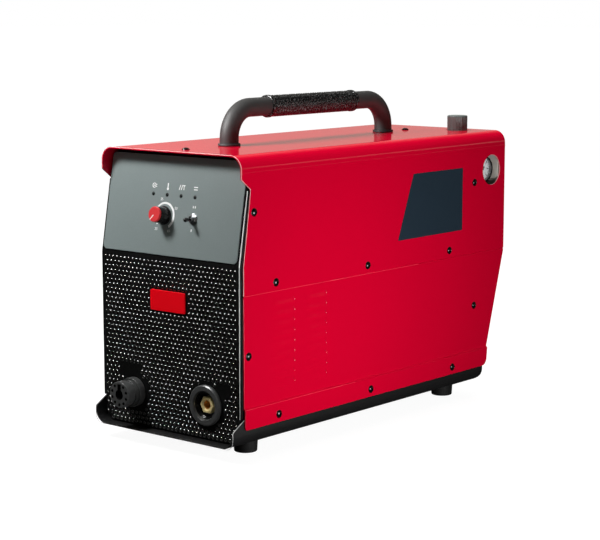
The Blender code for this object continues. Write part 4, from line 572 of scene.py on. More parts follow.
def cover_shape():
    """The cover: its section, unrolled to length u, carried back along depth v from the front edge's own
    line, with holes for the gauge and the regulator knob. A faint press line under each bend stands out by
    a bell, exp(-(height / 1.1)^2)."""
    section = cover_section()
    length = np.r_[0, np.cumsum(np.linalg.norm(np.diff(section, axis=0), axis=1))]
    whole = length[-1]
    heights = cover_front(SEAM)[1]
    side = heights[heights < TOP - BEND] - SEAM
    crown = TOP - BEND - SEAM + BEND * math.pi / 2
    press = PRESS_LINE - SEAM + np.linspace(-2.4, 2.4, 9)
    over = np.linspace(crown, whole - crown, 9)
    u_lines = np.concatenate([length, side, whole - side, press, whole - press, over])
    straight = -150.0
    v_lines = np.concatenate([np.linspace(HOOD_FRONT, straight, 5), np.linspace(straight, REAR_EDGE, 12)])
    right, back = REGULATOR_AT
    holes = ((GAUGE_Z - SEAM, back, GAUGE_HOLE, 20.6), (crown + HALF - BEND - right, back, 13.8, 20.6))
    flat, groups, _ = pierced(u_lines, v_lines, holes, 14)
    u, v = flat.T
    x, z = (np.interp(u, length, section[:, k]) for k in (0, 1))
    bell = PRESS_RISE * np.exp(-((z - PRESS_LINE) / 1.1) ** 2) * (np.abs(x) > HALF - 0.5)
    front = cover_front(z)[0]
    y = np.where(v < straight, straight - (straight - v) / (straight - HOOD_FRONT) * (straight - front), v)
    return placed(x + np.sign(x) * bell, y, z), groups


def louvre_press(y, z):
    """How far a louvre stands out: a slope from the slot's head down to its lip, eased in from the front
    and run out in an arc at the rear."""
    row = np.floor((z - LOUVRE_LOW + 0.01) / LOUVRE_PITCH)
    rise = z - LOUVRE_LOW - row * LOUVRE_PITCH
    slope = np.where((row >= 0) & (row < LOUVRE_ROWS), 1 - rise / LOUVRE_SLOT, 0)
    along = y[..., None] - LOUVRE_COLUMNS
    ease = np.clip(along / LOUVRE_EASE, 0, 1)
    end = np.clip((LOUVRE_WIDTH - along) / LOUVRE_END, 0, 1)
    whole = (ease ** 2 * (3 - 2 * ease) * np.sqrt(1 - (1 - end) ** 2)).max(-1)
    return LOUVRE_RISE * np.clip(slope, 0, 1) * whole


def side_shape(side):
    """A lower side panel: x follows a section by height, tucked under the seam and stepped out over the
    tray. Depth runs between front and rear edges that depend on height, and the louvres stand out with
    their slots open below."""
    corners = ((SIDE_LOW, FLANGE), (FLANGE_TOP, FLANGE), (JOGGLE, HALF), (TUCK, HALF), (SEAM, TUCK_HALF),
               (188, TUCK_HALF))
    section = softened(corners, (0, 0.9, 0.9, 0.4, 0.5, 0), 6)
    low = SIDE_LOW + arc_steps(LOW_CORNER, 8)
    rows = (LOUVRE_FEET[:, None] + np.array((-0.05, 0, 2.0, 4.1, LOUVRE_SLOT))).ravel()
    z = np.unique(np.round(np.concatenate([section[:, 0], low, rows, (95.0, 140.0)]), 4))
    eases = LOUVRE_EASE * np.linspace(0, 1, 7)
    arcs = LOUVRE_WIDTH - arc_steps(LOUVRE_END, 6)
    inner = (LOUVRE_COLUMNS[:, None] + np.concatenate([eases, arcs])).ravel()
    y = np.unique(np.round(np.concatenate([(-200.0, 150.0), inner, np.linspace(-60, 150, 5)]), 4))
    tucked = z > TUCK + 0.01
    front = np.where(tucked, -215.0, SKIRT_FRONT + corner_bite(z - SIDE_LOW, 3.0))
    rear = np.interp(z, (SIDE_LOW, JOGGLE, SEAM), (210.7, 213.1, REAR_EDGE))
    rear = np.where(tucked, 246.5, rear - corner_bite(z - SIDE_LOW, LOW_CORNER))
    share = np.linspace(0, 1, 5)[1:-1]
    ahead = front[:, None] + (y[0] - front[:, None]) * np.r_[0, share]
    behind = y[-1] + (rear[:, None] - y[-1]) * np.r_[share, 1]
    depth = np.concatenate([ahead, np.broadcast_to(y, (len(z), len(y))), behind], 1)
    height = np.broadcast_to(z[:, None], depth.shape)
    x = np.interp(height, section[:, 0], section[:, 1]) + louvre_press(depth, height)
    points = placed(side * x, depth, height).reshape(-1, 3)
    faces = quads(*depth.shape)
    reach = np.ptp(points[faces], axis=1)
    return points, [faces[~((reach[:, 2] < 0.1) & (reach[:, 0] > 0.3))]]


def tray_shape():
    """The base tray: a U section unrolled to its length, carried back from the lip's sloping line to the
    rear edge, which rounds in towards the floor."""
    section = softened(((HALF, LIP_TOP), (HALF, FLOOR_PAN), (-HALF, FLOOR_PAN), (-HALF, LIP_TOP)), BEND, 13)
    levels = np.linspace(LIP_LOW, LIP_TOP, 6)
    walls = np.concatenate([np.column_stack([np.full(6, s * HALF), levels]) for s in (1, -1)])
    floor = np.column_stack([np.linspace(-80, 80, 9), np.full(9, FLOOR_PAN)])
    section = np.unique(np.round(np.concatenate([section, walls, floor]), 4), axis=0)
    order = np.argsort(np.arctan2(section[:, 0], -(section[:, 1] - 60.0)))
    x, z = section[order].T
    line = softened(((0, LIP_FRONT), (LIP_LOW, LIP_FRONT), (LIP_TOP, -223.9)), (0, 3.0, 0), 6)
    front = np.interp(z, line[:, 0], line[:, 1])
    rear = TRAY_REAR - corner_bite(z - FLOOR_PAN, LOW_CORNER)
    y = front[:, None] + (rear - front)[:, None] * np.linspace(0, 1, 14)
    return placed(x[:, None], y, z[:, None]).reshape(-1, 3), [quads(*y.shape)]


def front_line(z):
    """Depth of the front panel's face by height, and its bend's heights: upright, then leaning back above a
    rounded bend."""
    line = softened(((0, FRONT), (FRONT_BEND, FRONT), (TOP, FRONT + (TOP - FRONT_BEND) * math.tan(TILT))),
                    (0, 30.0, 0), 7)
    return np.interp(z, line[:, 0], line[:, 1]), line[1:-1, 0]


def control_holes():
    """Holes for the lamps, the knob's bush and the toggle's bush, each with its square."""
    lamps = [(x, LAMP_Z, 1.9 + GAP, 3.6) for x in LAMP_X]
    return lamps + [(*KNOB_AT, 4.5 + GAP, 7.0), (*TOGGLE_AT, 3.2 + GAP, 6.0)]


def front_panel_shape():
    """The moulded front: a pierced face with rounded border, its depth bent along the front line."""
    holes = control_holes() + [(TORCH_X, SOCKET_Z, 13.3, 17.0), (EARTH_X, SOCKET_Z, 16.3, 20.0)]
    points, groups = moulded_face(PANEL_HALF, PANEL_LOW, PANEL_HIGH, PANEL_CORNER, 3.0, 20.0, holes, 14.0,
                                  front_line(0)[1])
    x, z, out = points.T
    return placed(x, front_line(z)[0] - out, z), groups


def wing_shape(side):
    """The front's edge ahead of the side sheets: a section from the face round a small corner to the side,
    carried up the front line and drawn in a little at both ends."""
    inner, proud, deep = 94.0, -0.06, 5.3
    section = softened(((inner, 1.0), (inner, proud), (WING_HALF, proud), (WING_HALF, deep), (inner, deep)),
                       (0, 0, 1.3, 0.3, 0), 7)
    across, back = section.T[:, None]
    z = np.concatenate([(WING_LOW, WING_LOW + 0.4), front_line(0)[1], (WING_HIGH - 0.4, WING_HIGH)])
    shrink = np.array([0.5] + [0.0] * (len(z) - 2) + [0.5])[:, None]
    x = side * np.clip(across - shrink, inner, None)
    y = front_line(z)[0][:, None] + np.minimum(back + shrink * (back < 1), deep)
    return loft(placed(x, y, z[:, None]), (True, True))


def rear_bend(x, v, out):
    """World places on the rear panel from its unrolled face: upright above the seam, sloping in below
    it."""
    under = np.clip(SEAM - v, 0, None)
    bent = v < SEAM
    y = REAR_FACE - under * SIN_R + np.where(bent, out * COS_R, out)
    z = np.where(bent, SEAM - under * COS_R - out * SIN_R, v)
    return placed(-x, y, z)


def unrolled(z):
    """Height on the rear panel's unrolled face of a place below the seam."""
    return SEAM - (SEAM - z) / COS_R


def rear_panel_shape():
    """The rear panel: a pierced face, upright above the seam and sloping in below it."""
    holes = [(-FAN_AT[0], unrolled(FAN_AT[2]), 57.5, 61.0)]
    for (x, _, z), radius, square in ((SWITCH_AT, 10.3, 14.0), (GLAND_AT, 9.8, 13.0), (INLET_AT, 7.3, 11.0)):
        holes.append((-x, z, radius, square))
    points, groups = moulded_face(PANEL_HALF, unrolled(PANEL_LOW), PANEL_HIGH, PANEL_CORNER, 1.0, 1.5, holes,
                                  14.0, (SEAM,))
    return rear_bend(*points.T), groups


def bump_field():
    """Domes in staggered rows over the lower front, left out round the sockets and the badge, in two bare
    patches and beyond the low corners."""
    dome = ball_cap(BUMP_BALL, (56, 48, 38, 27, 14, 0), 12)
    row, column = np.meshgrid(np.arange(36), np.arange(-17, 18), indexing="ij")
    x = (column + row % 2 / 2) * BUMP_PITCH
    z = BUMP_TOP - row * BUMP_ROW
    far = np.abs(x) < 96.5
    far &= ~((np.hypot(x - TORCH_X, z - SOCKET_Z) < 21.5) | (np.hypot(x - EARTH_X, z - SOCKET_Z) < 25.5))
    far &= ~((x > -76) & (x < -44) & (z > 70) & (z < 86))
    far &= ~((x > 66) & (x < 88) & (z > 66) & (z < 80))
    far &= ~((np.abs(x) < 29.5) & (np.abs(z - BADGE_Z) < 14.5))
    far &= np.hypot(np.clip(np.abs(x) - 86.9, 0, None), np.clip(29.8 - z, 0, None)) < 9.6
    return repeated(dome, placed(x[far], FRONT + 0.05, z[far]), FACES_FRONT)


def rear_seal():
    """A rubber strip round the rear panel: the panel's outline and ones a little wider, at several
    depths."""
    rings = []
    for grow, depth in ((-0.6, -0.2), (0.4, 0.1), (1.3, -0.2), (1.3, -1.6), (-0.6, -1.6)):
        over, bend = min(grow, 0.2), PANEL_CORNER + grow
        half, foot, head = PANEL_HALF + grow, unrolled(PANEL_LOW) - over, PANEL_HIGH + over
        corners = ((half, foot), (half, SEAM), (half, head), (-half, head), (-half, SEAM), (-half, foot))
        outline = softened(corners, (bend, 0.5, bend, bend, 0.5, bend), 9, closed=True)
        rings.append(rear_bend(*outline.T, depth))
    return loft(rings + rings[:1])


def hood_line():
    """The cover's front edge: up one side along its own front line, over the top and down the other
    side."""
    section = cover_section()
    heights = cover_front(SEAM)[1]
    heights = np.unique(np.r_[SEAM + 0.6, heights[(heights > SEAM + 1) & (heights < TOP - BEND - 0.5)]])
    up = np.column_stack([np.full(len(heights), HALF), heights])
    over = section[section[:, 1] > TOP - BEND - 0.01]
    line = np.concatenate([up, over, up[::-1] * (-1, 1)])
    x, z = line.T
    return placed(x, cover_front(z)[0] + 0.2, z)


def wing_line(low, high):
    """The front's outer corner on the right between two heights, along its own front line."""
    z = np.linspace(low, high, 10)
    return placed(WING_HALF - 0.45, front_line(z)[0] + 0.25, z)


def tray_line():
    """The tray's front edge, set in a little: down the slope of one wall, round the section and up the
    other."""
    inset = 0.05
    wall, floor, front = HALF - inset, FLOOR_PAN + inset, LIP_FRONT + 0.2
    half = np.array(((wall, -224.6, 50.8), (wall, front, LIP_LOW), (wall, front, floor)))
    bend = BEND - inset
    return softened(np.concatenate([half, half[::-1] * (-1, 1, 1)]), (0, 3.0, bend, bend, 3.0, 0), 9)


def level_line(side, x, z, radius, first, last):
    """A straight bead along a side panel between two depths."""
    return bead(placed(side * x, np.linspace(first, last, 8), z), radius, (1, 0, 0))


def highlight_lines(side):
    """Beads along the edges of one side panel: a painted highlight up its front edge, and along the seam's
    edge and the top of its stepped flange a painted highlight for a way, with plain paint behind that."""
    z = np.array((37.5, 46.0, FLANGE_TOP, JOGGLE, 90.0, 130.0, 173.0))
    front = placed(side * np.where(z < 56, FLANGE, HALF), SKIRT_FRONT + 0.2, z)
    seam, flange = (side, HALF - 0.2, 175.2, 0.42), (side, FLANGE - 0.25, 55.35, 0.34)
    highlit = gather(level_line(*seam, -233.0, 70.0), level_line(*flange, -233.0, -50.0))
    plain_behind = gather(level_line(*seam, 70.0, 246.0), level_line(*flange, -50.0, 211.0))
    return bead(front, 0.28, (0, 1, 0)), highlit, plain_behind


def louvre_pips(side, facing, back, up, radius):
    """Low domes at the louvres' rear ends, a given way back along the panel and up from each lip; in pale
    pink they are painted glints, in black painted shade.
    """
    dome = ball_cap(radius, (60, 40, 20, 0), 8)
    y, z = np.meshgrid(LOUVRE_COLUMNS + LOUVRE_WIDTH + back, LOUVRE_FEET + up)
    return repeated(dome, placed(side * (HALF - 0.05), y.ravel(), z.ravel()), facing)


piece("cover_skin", cover_shape(), RED, ["top_cover"], thick=SHEET, edge=0.35, outside=(0, 0, 1))
for side, word, _ in SIDES:
    piece(f"side_skin_{word}", side_shape(side), RED, [f"side_panel_{word}"], thick=SHEET,
          edge=0.3, outside=(side, 0, 0))
piece("tray_skin", tray_shape(), BLACK_COAT, ["base_tray"], thick=SHEET, edge=0.35,
      outside=(0, 0, -1))
piece("front_moulding", front_panel_shape(), MOULDED, ["front_panel"], outside=(0, -1, 0))
for side, word, _ in SIDES:
    piece(f"front_edge_{word}", wing_shape(side), GLOSSY_EDGE)
piece("front_bumps", bump_field(), BUMP, outside=(0, -1, 0), crease=80)
# A pale pink bead along the hood's front edge: painted highlight.
piece("cover_painted_highlight", bead(hood_line(), 0.36, (0, 1, 0.02)), PINK_HIGHLIGHT)
for side, word, facing in SIDES:
    upright, level, plain_behind = highlight_lines(side)
    glints, shade_dots = louvre_pips(side, facing, -0.3, 2.9, 0.85), louvre_pips(side, facing, -2.2, 5.4, 0.65)
    # Light red beads up the side's front edge and along the front part of the seam and flange: painted
    # highlight; plain red beads behind.
    piece(f"side_front_painted_highlight_{word}", upright, RED_HIGHLIGHT)
    piece(f"side_painted_highlight_lines_{word}", level, RED_HIGHLIGHT)
    piece(f"side_plain_lines_{word}", plain_behind, RED)
    # Pale pink domes at the louvres' rear ends are painted glints; black domes above them are painted shade.
    piece(f"louvre_glints_{word}", glints, PINK_HIGHLIGHT, outside=(side, 0, 0))
    piece(f"louvre_painted_shade_dots_{word}", shade_dots, BLACK_COAT, outside=(side, 0, 0))
# A grey bead along the tray's front edge: painted highlight.
piece("tray_painted_highlight", bead(tray_line(), 0.26, (0, 1, -0.5)), GREY_HIGHLIGHT)
# Grey and white beads up the right front corner: painted highlight.
for name, low, high, radius, coat in (("front_painted_highlight_low", WING_LOW + 1, FRONT_BEND, 0.26, GREY_HIGHLIGHT),
                                      ("front_painted_highlight_high", FRONT_BEND, WING_HIGH - 1, 0.40, WHITE_HIGHLIGHT)):
    piece(name, bead(wing_line(low, high), radius, (1, 0, 0)), coat)
piece("rear_seal", rear_seal(), RUBBER)
piece("rear_sheet", rear_panel_shape(), REAR_COAT, ["rear_panel"], outside=(0, 1, 0))


# Front plate and badge

def plate_place(x, z, out=0.0):
    """World place of a point on the leaning front, a given way out of it."""
    rise = (z - FRONT_BEND) / COS_T
    return np.array((x, FRONT + rise * SIN_T - out * COS_T, FRONT_BEND + rise * COS_T + out * SIN_T))


def on_plate(shape, x, z, out=PLATE_FACE):
    """A shape set on the leaning plate, facing out of it."""
    return set_at(shape, plate_place(x, z, out), FACES_PLATE)


def plate_shape():
    """The grey plate: a pierced face with rounded corners, laid on the leaning front."""
    holes = [(x, (z - FRONT_BEND) / COS_T, r, s) for x, z, r, s in control_holes()]
    low, high = 2.9 / COS_T, 107.9 / COS_T
    return on_plate(moulded_face(98.4, low, high, 5.0, 0.4, 1.0, holes, 14.0), 0, FRONT_BEND)


def dial_print():
    """White print round the knob: an open ring that widens from start to end, with plain numbers round
    it."""
    ring = ribbon(12.3, np.linspace(13.9, 15.2, 72), DIAL_START, -57, 72)
    shapes = [on_plate(ring, *KNOB_AT)]
    for text, turn in (("20", 236), ("35", 110), ("50", 28), ("65", -62)):
        right, up, _ = polar(18.2, math.radians(turn), 0)
        place = plate_place(KNOB_AT[0] + right, KNOB_AT[1] + up * COS_T, PLATE_FACE)
        shapes.append(lettering(text, 4.2, FACES_PLATE, place))
    return gather(*shapes)


def lamp_marks():
    """Small plain marks over the lamps and by the toggle: rings, bars and strokes, drawn 1.3 times their
    size."""
    z = LAMP_Z + 9.0
    a, b, c, d = LAMP_X
    x, y = TOGGLE_AT
    drawn = (((a, z), (ribbon(1.5, 2.1, 40, 320), bar(0.6, 0, 3.2, 0.7), bar(2.4, 0.9, 1.6, 0.6),
                       bar(2.4, -0.9, 1.6, 0.6))),
             ((b, z), (bar(0, 0.6, 1.1, 4.2),)),
             ((b, z - 2.7), (ribbon(0.1, 1.1, 0, 360, 20),)),
             ((c, z), (bar(-2.2, 0, 0.7, 4.4, turn=-18), bar(0.0, 0, 0.7, 4.4, turn=-18),
                       bar(2.4, 1.7, 2.6, 0.7), bar(2.4, 0, 0.7, 4.0))),
             ((d, z), (bar(0, 1.1, 4.2, 0.8), bar(0, -0.9, 4.2, 0.8))),
             ((x, y + 12.4), (bar(-1.2, 0, 1.0, 2.0), bar(1.0, 0, 1.0, 2.0))),
             ((x - 1.0, y - 12.0), (bar(0, 0, 1.0, 2.0),)))
    return gather(*[on_plate((points * (1.3, 1.3, 1), groups), *place)
                    for place, shapes in drawn for points, groups in shapes])


piece("plate_skin", plate_shape(), SATIN, ["control_plate"], outside=(0, -1, 0))
piece("dial_print", dial_print(), PRINT)
piece("lamp_marks", lamp_marks(), PRINT)
badge = set_at(moulded_face(25.65, -11.25, 11.25, 2.0, 0.5, 1.5), (0, FRONT - 1.8, BADGE_Z), FACES_FRONT)
piece("badge_blank", badge, BADGE, ["badge_plate"], outside=(0, -1, 0))


# Controls

def lamp_shape():
    """A lamp: a shallow dome on a straight stem."""
    turn = np.linspace(0, np.pi / 2, 7)
    dome = np.column_stack([1.9 * np.sin(turn), 0.6 - 1.0 * (1 - np.cos(turn))])
    return turned(np.concatenate([dome, ((1.9, -7.4), (0, -7.4))]), 24)


def knob_body():
    """The knob: a skirt and a fluted barrel, its radius cut back by a narrow groove eighteen times
    round."""
    def flutes(_, height, angle):
        groove = np.clip(np.cos(18 * angle), 0.2, 1) - 0.2
        return 1 - 0.075 * groove * ((height > 4.7) & (height < 13.9))
    corners = ((2.0, 1.6), (10.2, 1.6), (10.2, 3.3), (9.15, 4.5), (9.0, 4.8), (8.6, 13.6), (8.1, 14.1),
               (0, 14.1))
    return lathe(corners, (0, 0.4, 0.5, 0.5, 0.2, 0.4, 0.2, 0), 144, 4, flutes)


def knob_cap():
    """The red cap: a disc with a rounded rim and a slightly hollow face."""
    return lathe(((0, 17.05), (6.6, 17.2), (8.3, 17.2), (8.3, 14.4), (0, 14.4)), (0, 3.0, 0.7, 0.3, 0), 64)


def toggle_hardware():
    """Washer, hexagon nut and threaded bush of the toggle: turned profiles, the nut's drawn to a
    hexagon."""
    washer = lathe(((3.5, 0.05), (6.2, 0.05), (6.2, 0.75), (3.5, 0.75)), (0, 0.15, 0.2, 0), 40)
    nut = lathe(((3.5, 0.75), (5.5, 0.75), (5.5, 2.1), (4.9, 2.5), (3.5, 2.5)), (0, 0.1, 0.2, 0.2, 0), 48,
                outline=lambda radius, height, angle: hexagon(angle))
    ridge = 3.2 - 0.18 * (np.arange(22) % 2)
    rise = 0.2 + 4.6 * np.linspace(0, 1, 22)
    bush = turned(np.column_stack([np.r_[ridge, 2.4, 2.4], np.r_[rise, 5.0, 2.0]]), 32)
    return gather(washer, nut, bush)


def toggle_bat():
    """The lever: a slim stem that widens to a round-ended bat."""
    turn = np.linspace(np.pi / 2, 0, 8)
    tip = np.column_stack([2.4 * np.cos(turn), 11.0 - 2.4 + 2.4 * np.sin(turn)])
    return turned(np.concatenate([tip, ((2.15, 6.5), (1.5, 3.6), (1.1, 1.6), (1.1, 0), (0, -1.6))]), 28)


for number, x in enumerate(LAMP_X, 1):
    piece(f"lamp_lens_{number}", on_plate(lamp_shape(), x, LAMP_Z), SMOKE,
          [f"indicator_lamp_{number}"])
for name, shape, out, coat, slot, nodes in (
        ("knob_barrel", knob_body(), 0, KNOB, "black_plastic", ["current_knob"]),
        ("knob_cap", knob_cap(), 0, CAP, "red_plastic", ["current_knob_cap"]),
        ("knob_pointer", spoke(4.6, DIAL_START, 7.0, 0.8, 0.12), 17.13, PRINT, "dial_white", [])):
    piece(name, on_plate(shape, *KNOB_AT, out), coat, nodes, "current_control")
piece("toggle_ring", on_plate(toggle_hardware(), *TOGGLE_AT), NICKEL, ["toggle_nut"])
bat = set_at(toggle_bat(), plate_place(*TOGGLE_AT, PLATE_FACE + 3.0), leaning(TILT - math.radians(11.0)))
piece("toggle_bat", bat, KNOB, ["toggle_lever"], "toggle")


# Sockets

PIN_CIRCLE = 11.0
PIN_RADIUS = 1.75
KEY_BORE = 5.6
KEY_TURN = 0.53
FACE_RIM = 13.7
FACE_OUT = 24.5
TORCH = (TORCH_X, FRONT, SOCKET_Z), FACES_FRONT
EARTH = (EARTH_X, FRONT, SOCKET_Z), FACES_FRONT


def key_line(angle):
    """Radius of the socket's keyhole by angle from the top: a round bore with a square-ended slot
    upwards."""
    off = np.abs((angle + np.pi) % (2 * np.pi) - np.pi)
    end = 11.6 / np.cos(np.clip(off, 0, 1.4))
    wall = 2.6 / np.maximum(np.sin(np.clip(off, 0, 1.5)), 1e-4)
    return np.where(off < 0.52, np.maximum(KEY_BORE, np.minimum(end, wall)), KEY_BORE)


def round_face(flat, depth):
    """Places on the socket's face from unrolled ones: u is the way round on the pins' circle, and v, the
    way out from it, is spread between the keyhole and the rim."""
    angle, out = flat[:, 0] / PIN_CIRCLE, flat[:, 1]
    key = key_line(angle)
    radius = key + (FACE_RIM - key) * (out + PIN_CIRCLE - KEY_BORE) / (FACE_RIM - KEY_BORE)
    return polar(radius, angle + np.pi / 2, depth)


def torch_body():
    """The torch socket: a turned barrel with a groove and a rounded front rim and a pierced face unrolled
    round its pins' circle; and, apart, the pin wells behind it with the keyhole's wall and floor."""
    corners = ((FACE_RIM, FACE_OUT), (14.3, FACE_OUT), (14.3, 14.6), (12.6, 14.6), (12.6, 12.0), (14.0, 12.0),
               (14.0, 0.3))
    barrel = lathe(corners, (0, 0.6, 0.25, 0.1, 0.1, 0.25, 0), 72)
    whole = 2 * np.pi * PIN_CIRCLE
    pins = whole * np.arange(1, 10) / 10
    slot = np.linspace(-KEY_TURN, KEY_TURN, 31) * PIN_CIRCLE
    u_lines = np.concatenate([slot[slot >= 0], whole + slot[slot <= 0], (whole / 20, whole * 19 / 20)])
    v_lines = (KEY_BORE - PIN_CIRCLE, -2.5, 2.5, FACE_RIM - PIN_CIRCLE)
    flat, groups, _ = pierced(u_lines, v_lines, [(u, 0, PIN_RADIUS, 2.3) for u in pins], 6)
    face = round_face(flat, FACE_OUT), groups
    ring = polar(PIN_RADIUS, around(24), 0)[:, :2]
    steps = ((1, FACE_OUT), (1, 15), (0.05, 14.5))
    wells = [loft([round_face(ring * share + (u, 0), depth) for share, depth in steps]) for u in pins]
    angle = np.unique(np.concatenate([np.linspace(0, 2 * np.pi, 73), slot / PIN_CIRCLE % (2 * np.pi)]))[:-1]
    key, turn = key_line(angle), angle + np.pi / 2
    wall = [polar(key * share, turn, depth) for share, depth in ((1, FACE_OUT), (1, 6.0), (0.02, 5.9))]
    return gather(barrel, face), gather(loft(wall), *wells)


def torch_collar():
    """The collar behind it: a thin cup with ribs round it, its radius raised at each rib."""
    def ribs(radius, _, angle):
        return 1 + 0.010 * (radius > 15.5) * (np.cos(24 * angle) > 0.93)
    return lathe(((14.9, 0.3), (14.9, 8.0), (16.0, 8.0), (16.0, 0.3)), (0, 0.2, 0.35, 0), 144, 4, ribs)


def earth_ring():
    """The earth socket's shell: a turned ring with a flared mouth and rounded rims; and, apart, its
    recess."""
    ring = lathe(((15.0, 1.3), (15.9, 4.1), (20.6, 4.1), (22.0, 2.7), (22.0, 0.0)), (0, 0.5, 0.6, 0.6, 0), 96)
    well = lathe(((9.6, -6.0), (12.6, -6.0), (12.6, -0.6), (13.9, -0.6), (13.9, 1.3), (15.0, 1.3)),
                 (0, 0.5, 0.3, 0.3, 0.35, 0), 96)
    return ring, well


def earth_insert():
    """The brass insert: a hexagon with a chamfered face, drawn to a round bore that runs back."""
    corners = ((9.81, -20.0), (9.81, -1.0), (9.2, -0.5), (6.6, -0.5), (5.9, -0.9), (4.8, -1.4), (4.8, -20.0))
    outline = six_sided(lambda radius, height: np.interp(radius, (6.0, 8.2), (0.0, 1.0)), np.pi / 6)
    return lathe(corners, (0, 0.2, 0.2, 0.2, 0.3, 0.3, 0), 96, 4, outline)


torch_outside, torch_wells = torch_body()
earth_outside, earth_well = earth_ring()
earth_bore = turned(((4.75, -1.5), (4.75, -18.0), (0, -18.0)), 40)
# The torch's pin wells and keyhole take near-black plastic and the earth socket's recess near-black glossy
# plastic, where the shells are grey: painted shade in the recesses.
for name, shape, where, coat, slot, nodes in (
        ("torch_barrel", torch_outside, TORCH, SOCKET, "black_plastic", ["torch_socket_body"]),
        ("torch_wells", torch_wells, TORCH, MOULDED, "black_plastic", []),
        ("torch_collar", torch_collar(), TORCH, SOCKET, "black_plastic", ["torch_socket_collar"]),
        ("earth_shell", earth_outside, EARTH, SOCKET, "black_plastic", ["earth_socket_shell"]),
        ("earth_well", earth_well, EARTH, GLOSSY_EDGE, "black_plastic", []),
        ("earth_hexagon", earth_insert(), EARTH, BRASS, "brass", ["earth_socket_insert"]),
        # The bore takes darker brass than the hexagon: painted shade inside it.
        ("earth_bore", earth_bore, EARTH, SHADED_BRASS, "brass", [])):
    piece(name, set_at(shape, *where), coat, nodes)


# Handle

def handle_path():
    """The handle's centre line: up, a quarter bend, along, a quarter bend and down."""
    (front, rear), foot = HANDLE_Y, TOP + GAP
    line = softened(((front, foot), (front, HANDLE_Z), (rear, HANDLE_Z), (rear, foot)), 33.0, 22)
    return placed(0, *line.T)


def grip_shape():
    """The sleeve: radius by angle and length, with a bead at each end and, between them, pebbles: the
    product of two slanting waves whose pace drifts along and round the sleeve."""
    inside = 72.6
    tail = np.concatenate([np.linspace(73.0, 76.0, 5), (76.4, GRIP_HALF)])
    long = np.concatenate([-tail[::-1], np.linspace(-inside, inside, 420), tail])
    s, a = np.meshgrid(long, around(144), indexing="ij")
    rolled = np.clip((np.abs(s) - inside) / 0.4, 0, 1) * np.clip((GRIP_HALF - np.abs(s)) / 0.5, 0, 1)
    drift = 0.9 * np.sin(5 * a + 0.35 * s) + 0.7 * np.sin(3 * a - 0.21 * s + 1.3)
    first = np.cos(2.3 * s + 19 * a + drift)
    second = np.cos(2.0 * s - 21 * a + 1.2 * np.sin(2 * a + 0.5 * s))
    pebbles = np.clip(0.5 + 0.5 * first * second + 0.25 * (first + second), 0, 1)
    radius = 11.4 + 0.8 * pebbles * (np.abs(s) < 72.3) + 1.3 * rolled
    rings = placed(radius * np.cos(a), s, radius * np.sin(a))
    ends = rings[[0, -1]] * np.array((0.91, 1, 0.91))
    return loft(np.concatenate([ends[:1], rings, ends[1:]]))


def collar_shape():
    """A base collar: a low ring with a rounded top, turned round the leg."""
    return lathe(((10.7, 0.0), (12.4, 0.0), (12.4, 2.4), (10.7, 2.4)), (0, 0.2, 0.7, 0), 48)


piece("handle_bow", bead(handle_path(), HANDLE_RADIUS, (1, 0, 0), 40), TUBE, ["handle_tube"])
grip_place = (0, sum(HANDLE_Y) / 2, HANDLE_Z)
piece("handle_sleeve", set_at(grip_shape(), grip_place), GRIP, ["handle_grip"], crease=75)
for word, y in zip(("front", "rear"), HANDLE_Y):
    piece(f"handle_ring_{word}", set_at(collar_shape(), (0, y, TOP + GAP)), TUBE,
          [f"handle_collar_{word}"])


# Screws and feet

COVER_SCREWS = ((22.8, 261.8), (422.8, 261.8), (57.1, 184.6), (214.5, 184.6), (371.9, 184.6))
PANEL_SCREWS = ((13.1, 111.5), (424.7, 111.5))
FLANGE_SCREWS = ((59.2, 42.5), (218.7, 42.5), (378.2, 42.5))


def screw_shape():
    """A button head with a thin washer and a hexagon socket: a dome drawn down to a six-sided well."""
    turn = np.linspace(0.4, 1.45, 7)
    dome = np.column_stack([4.1 * np.sin(turn), 2.2 * np.cos(turn)])
    rim, well = ((4.5, -0.2), (4.5, 0.2), (4.1, 0.25)), ((1.45, 2.05), (1.35, 1.9), (1.35, 0.6), (0, 0.5))
    outline = six_sided(lambda radius, height: np.interp(radius, (0.01, 1.4, 1.5), (0, 1, 0)))
    return turned(np.concatenate([rim, dome[::-1], well]), 24, outline)


def foot_shape():
    """A rubber foot: a slight taper with rounded edges and a recess underneath."""
    corners = ((0, 15.2), (13.4, 15.2), (12.5, 0.0), (5.0, 0.0), (4.0, 2.5), (0, 2.5))
    return lathe(corners, (0, 0.5, 1.4, 0.5, 0.5, 0), 48)


for side, word, facing in SIDES:
    spots = [(side * HALF, FRONT + d, z) for d, z in COVER_SCREWS + PANEL_SCREWS]
    spots += [(side * FLANGE, FRONT + d, z) for d, z in FLANGE_SCREWS]
    piece(f"side_screws_{word}", repeated(screw_shape(), spots, facing), STEEL)
for word, y in (("front", -211.0), ("rear", 180.1)):
    piece(f"top_screw_{word}", set_at(screw_shape(), (0, y, TOP + 0.2)), STEEL,
          [f"cover_screw_{word}"])
for end, y in (("front", -196.2), ("rear", 165.0)):
    for side, word, _ in SIDES:
        piece(f"rubber_foot_{end}_{word}", set_at(foot_shape(), (side * 70.0, y, 0)), RUBBER,
              [f"foot_{end}_{word}"])


# Side labels, gauge and regulator knob

GAUGE = (GAUGE_FACE, REGULATOR_AT[1], GAUGE_Z), FACES_RIGHT


def label_shape(side, facing):
    """A bare film on the cover's side: four corners with rounded edges, as a thin closed slab."""
    corners = ((299.1, 281.1), (398.0, 281.2), (397.8, 206.6), (270.2, 206.5))
    outline = softened(np.array(corners) + (FRONT, 0), 0.8, 4, closed=True)
    return set_at(slab(outline * (side, 1), (HALF - 0.05, HALF + 0.10)), (0, 0, 0), facing)


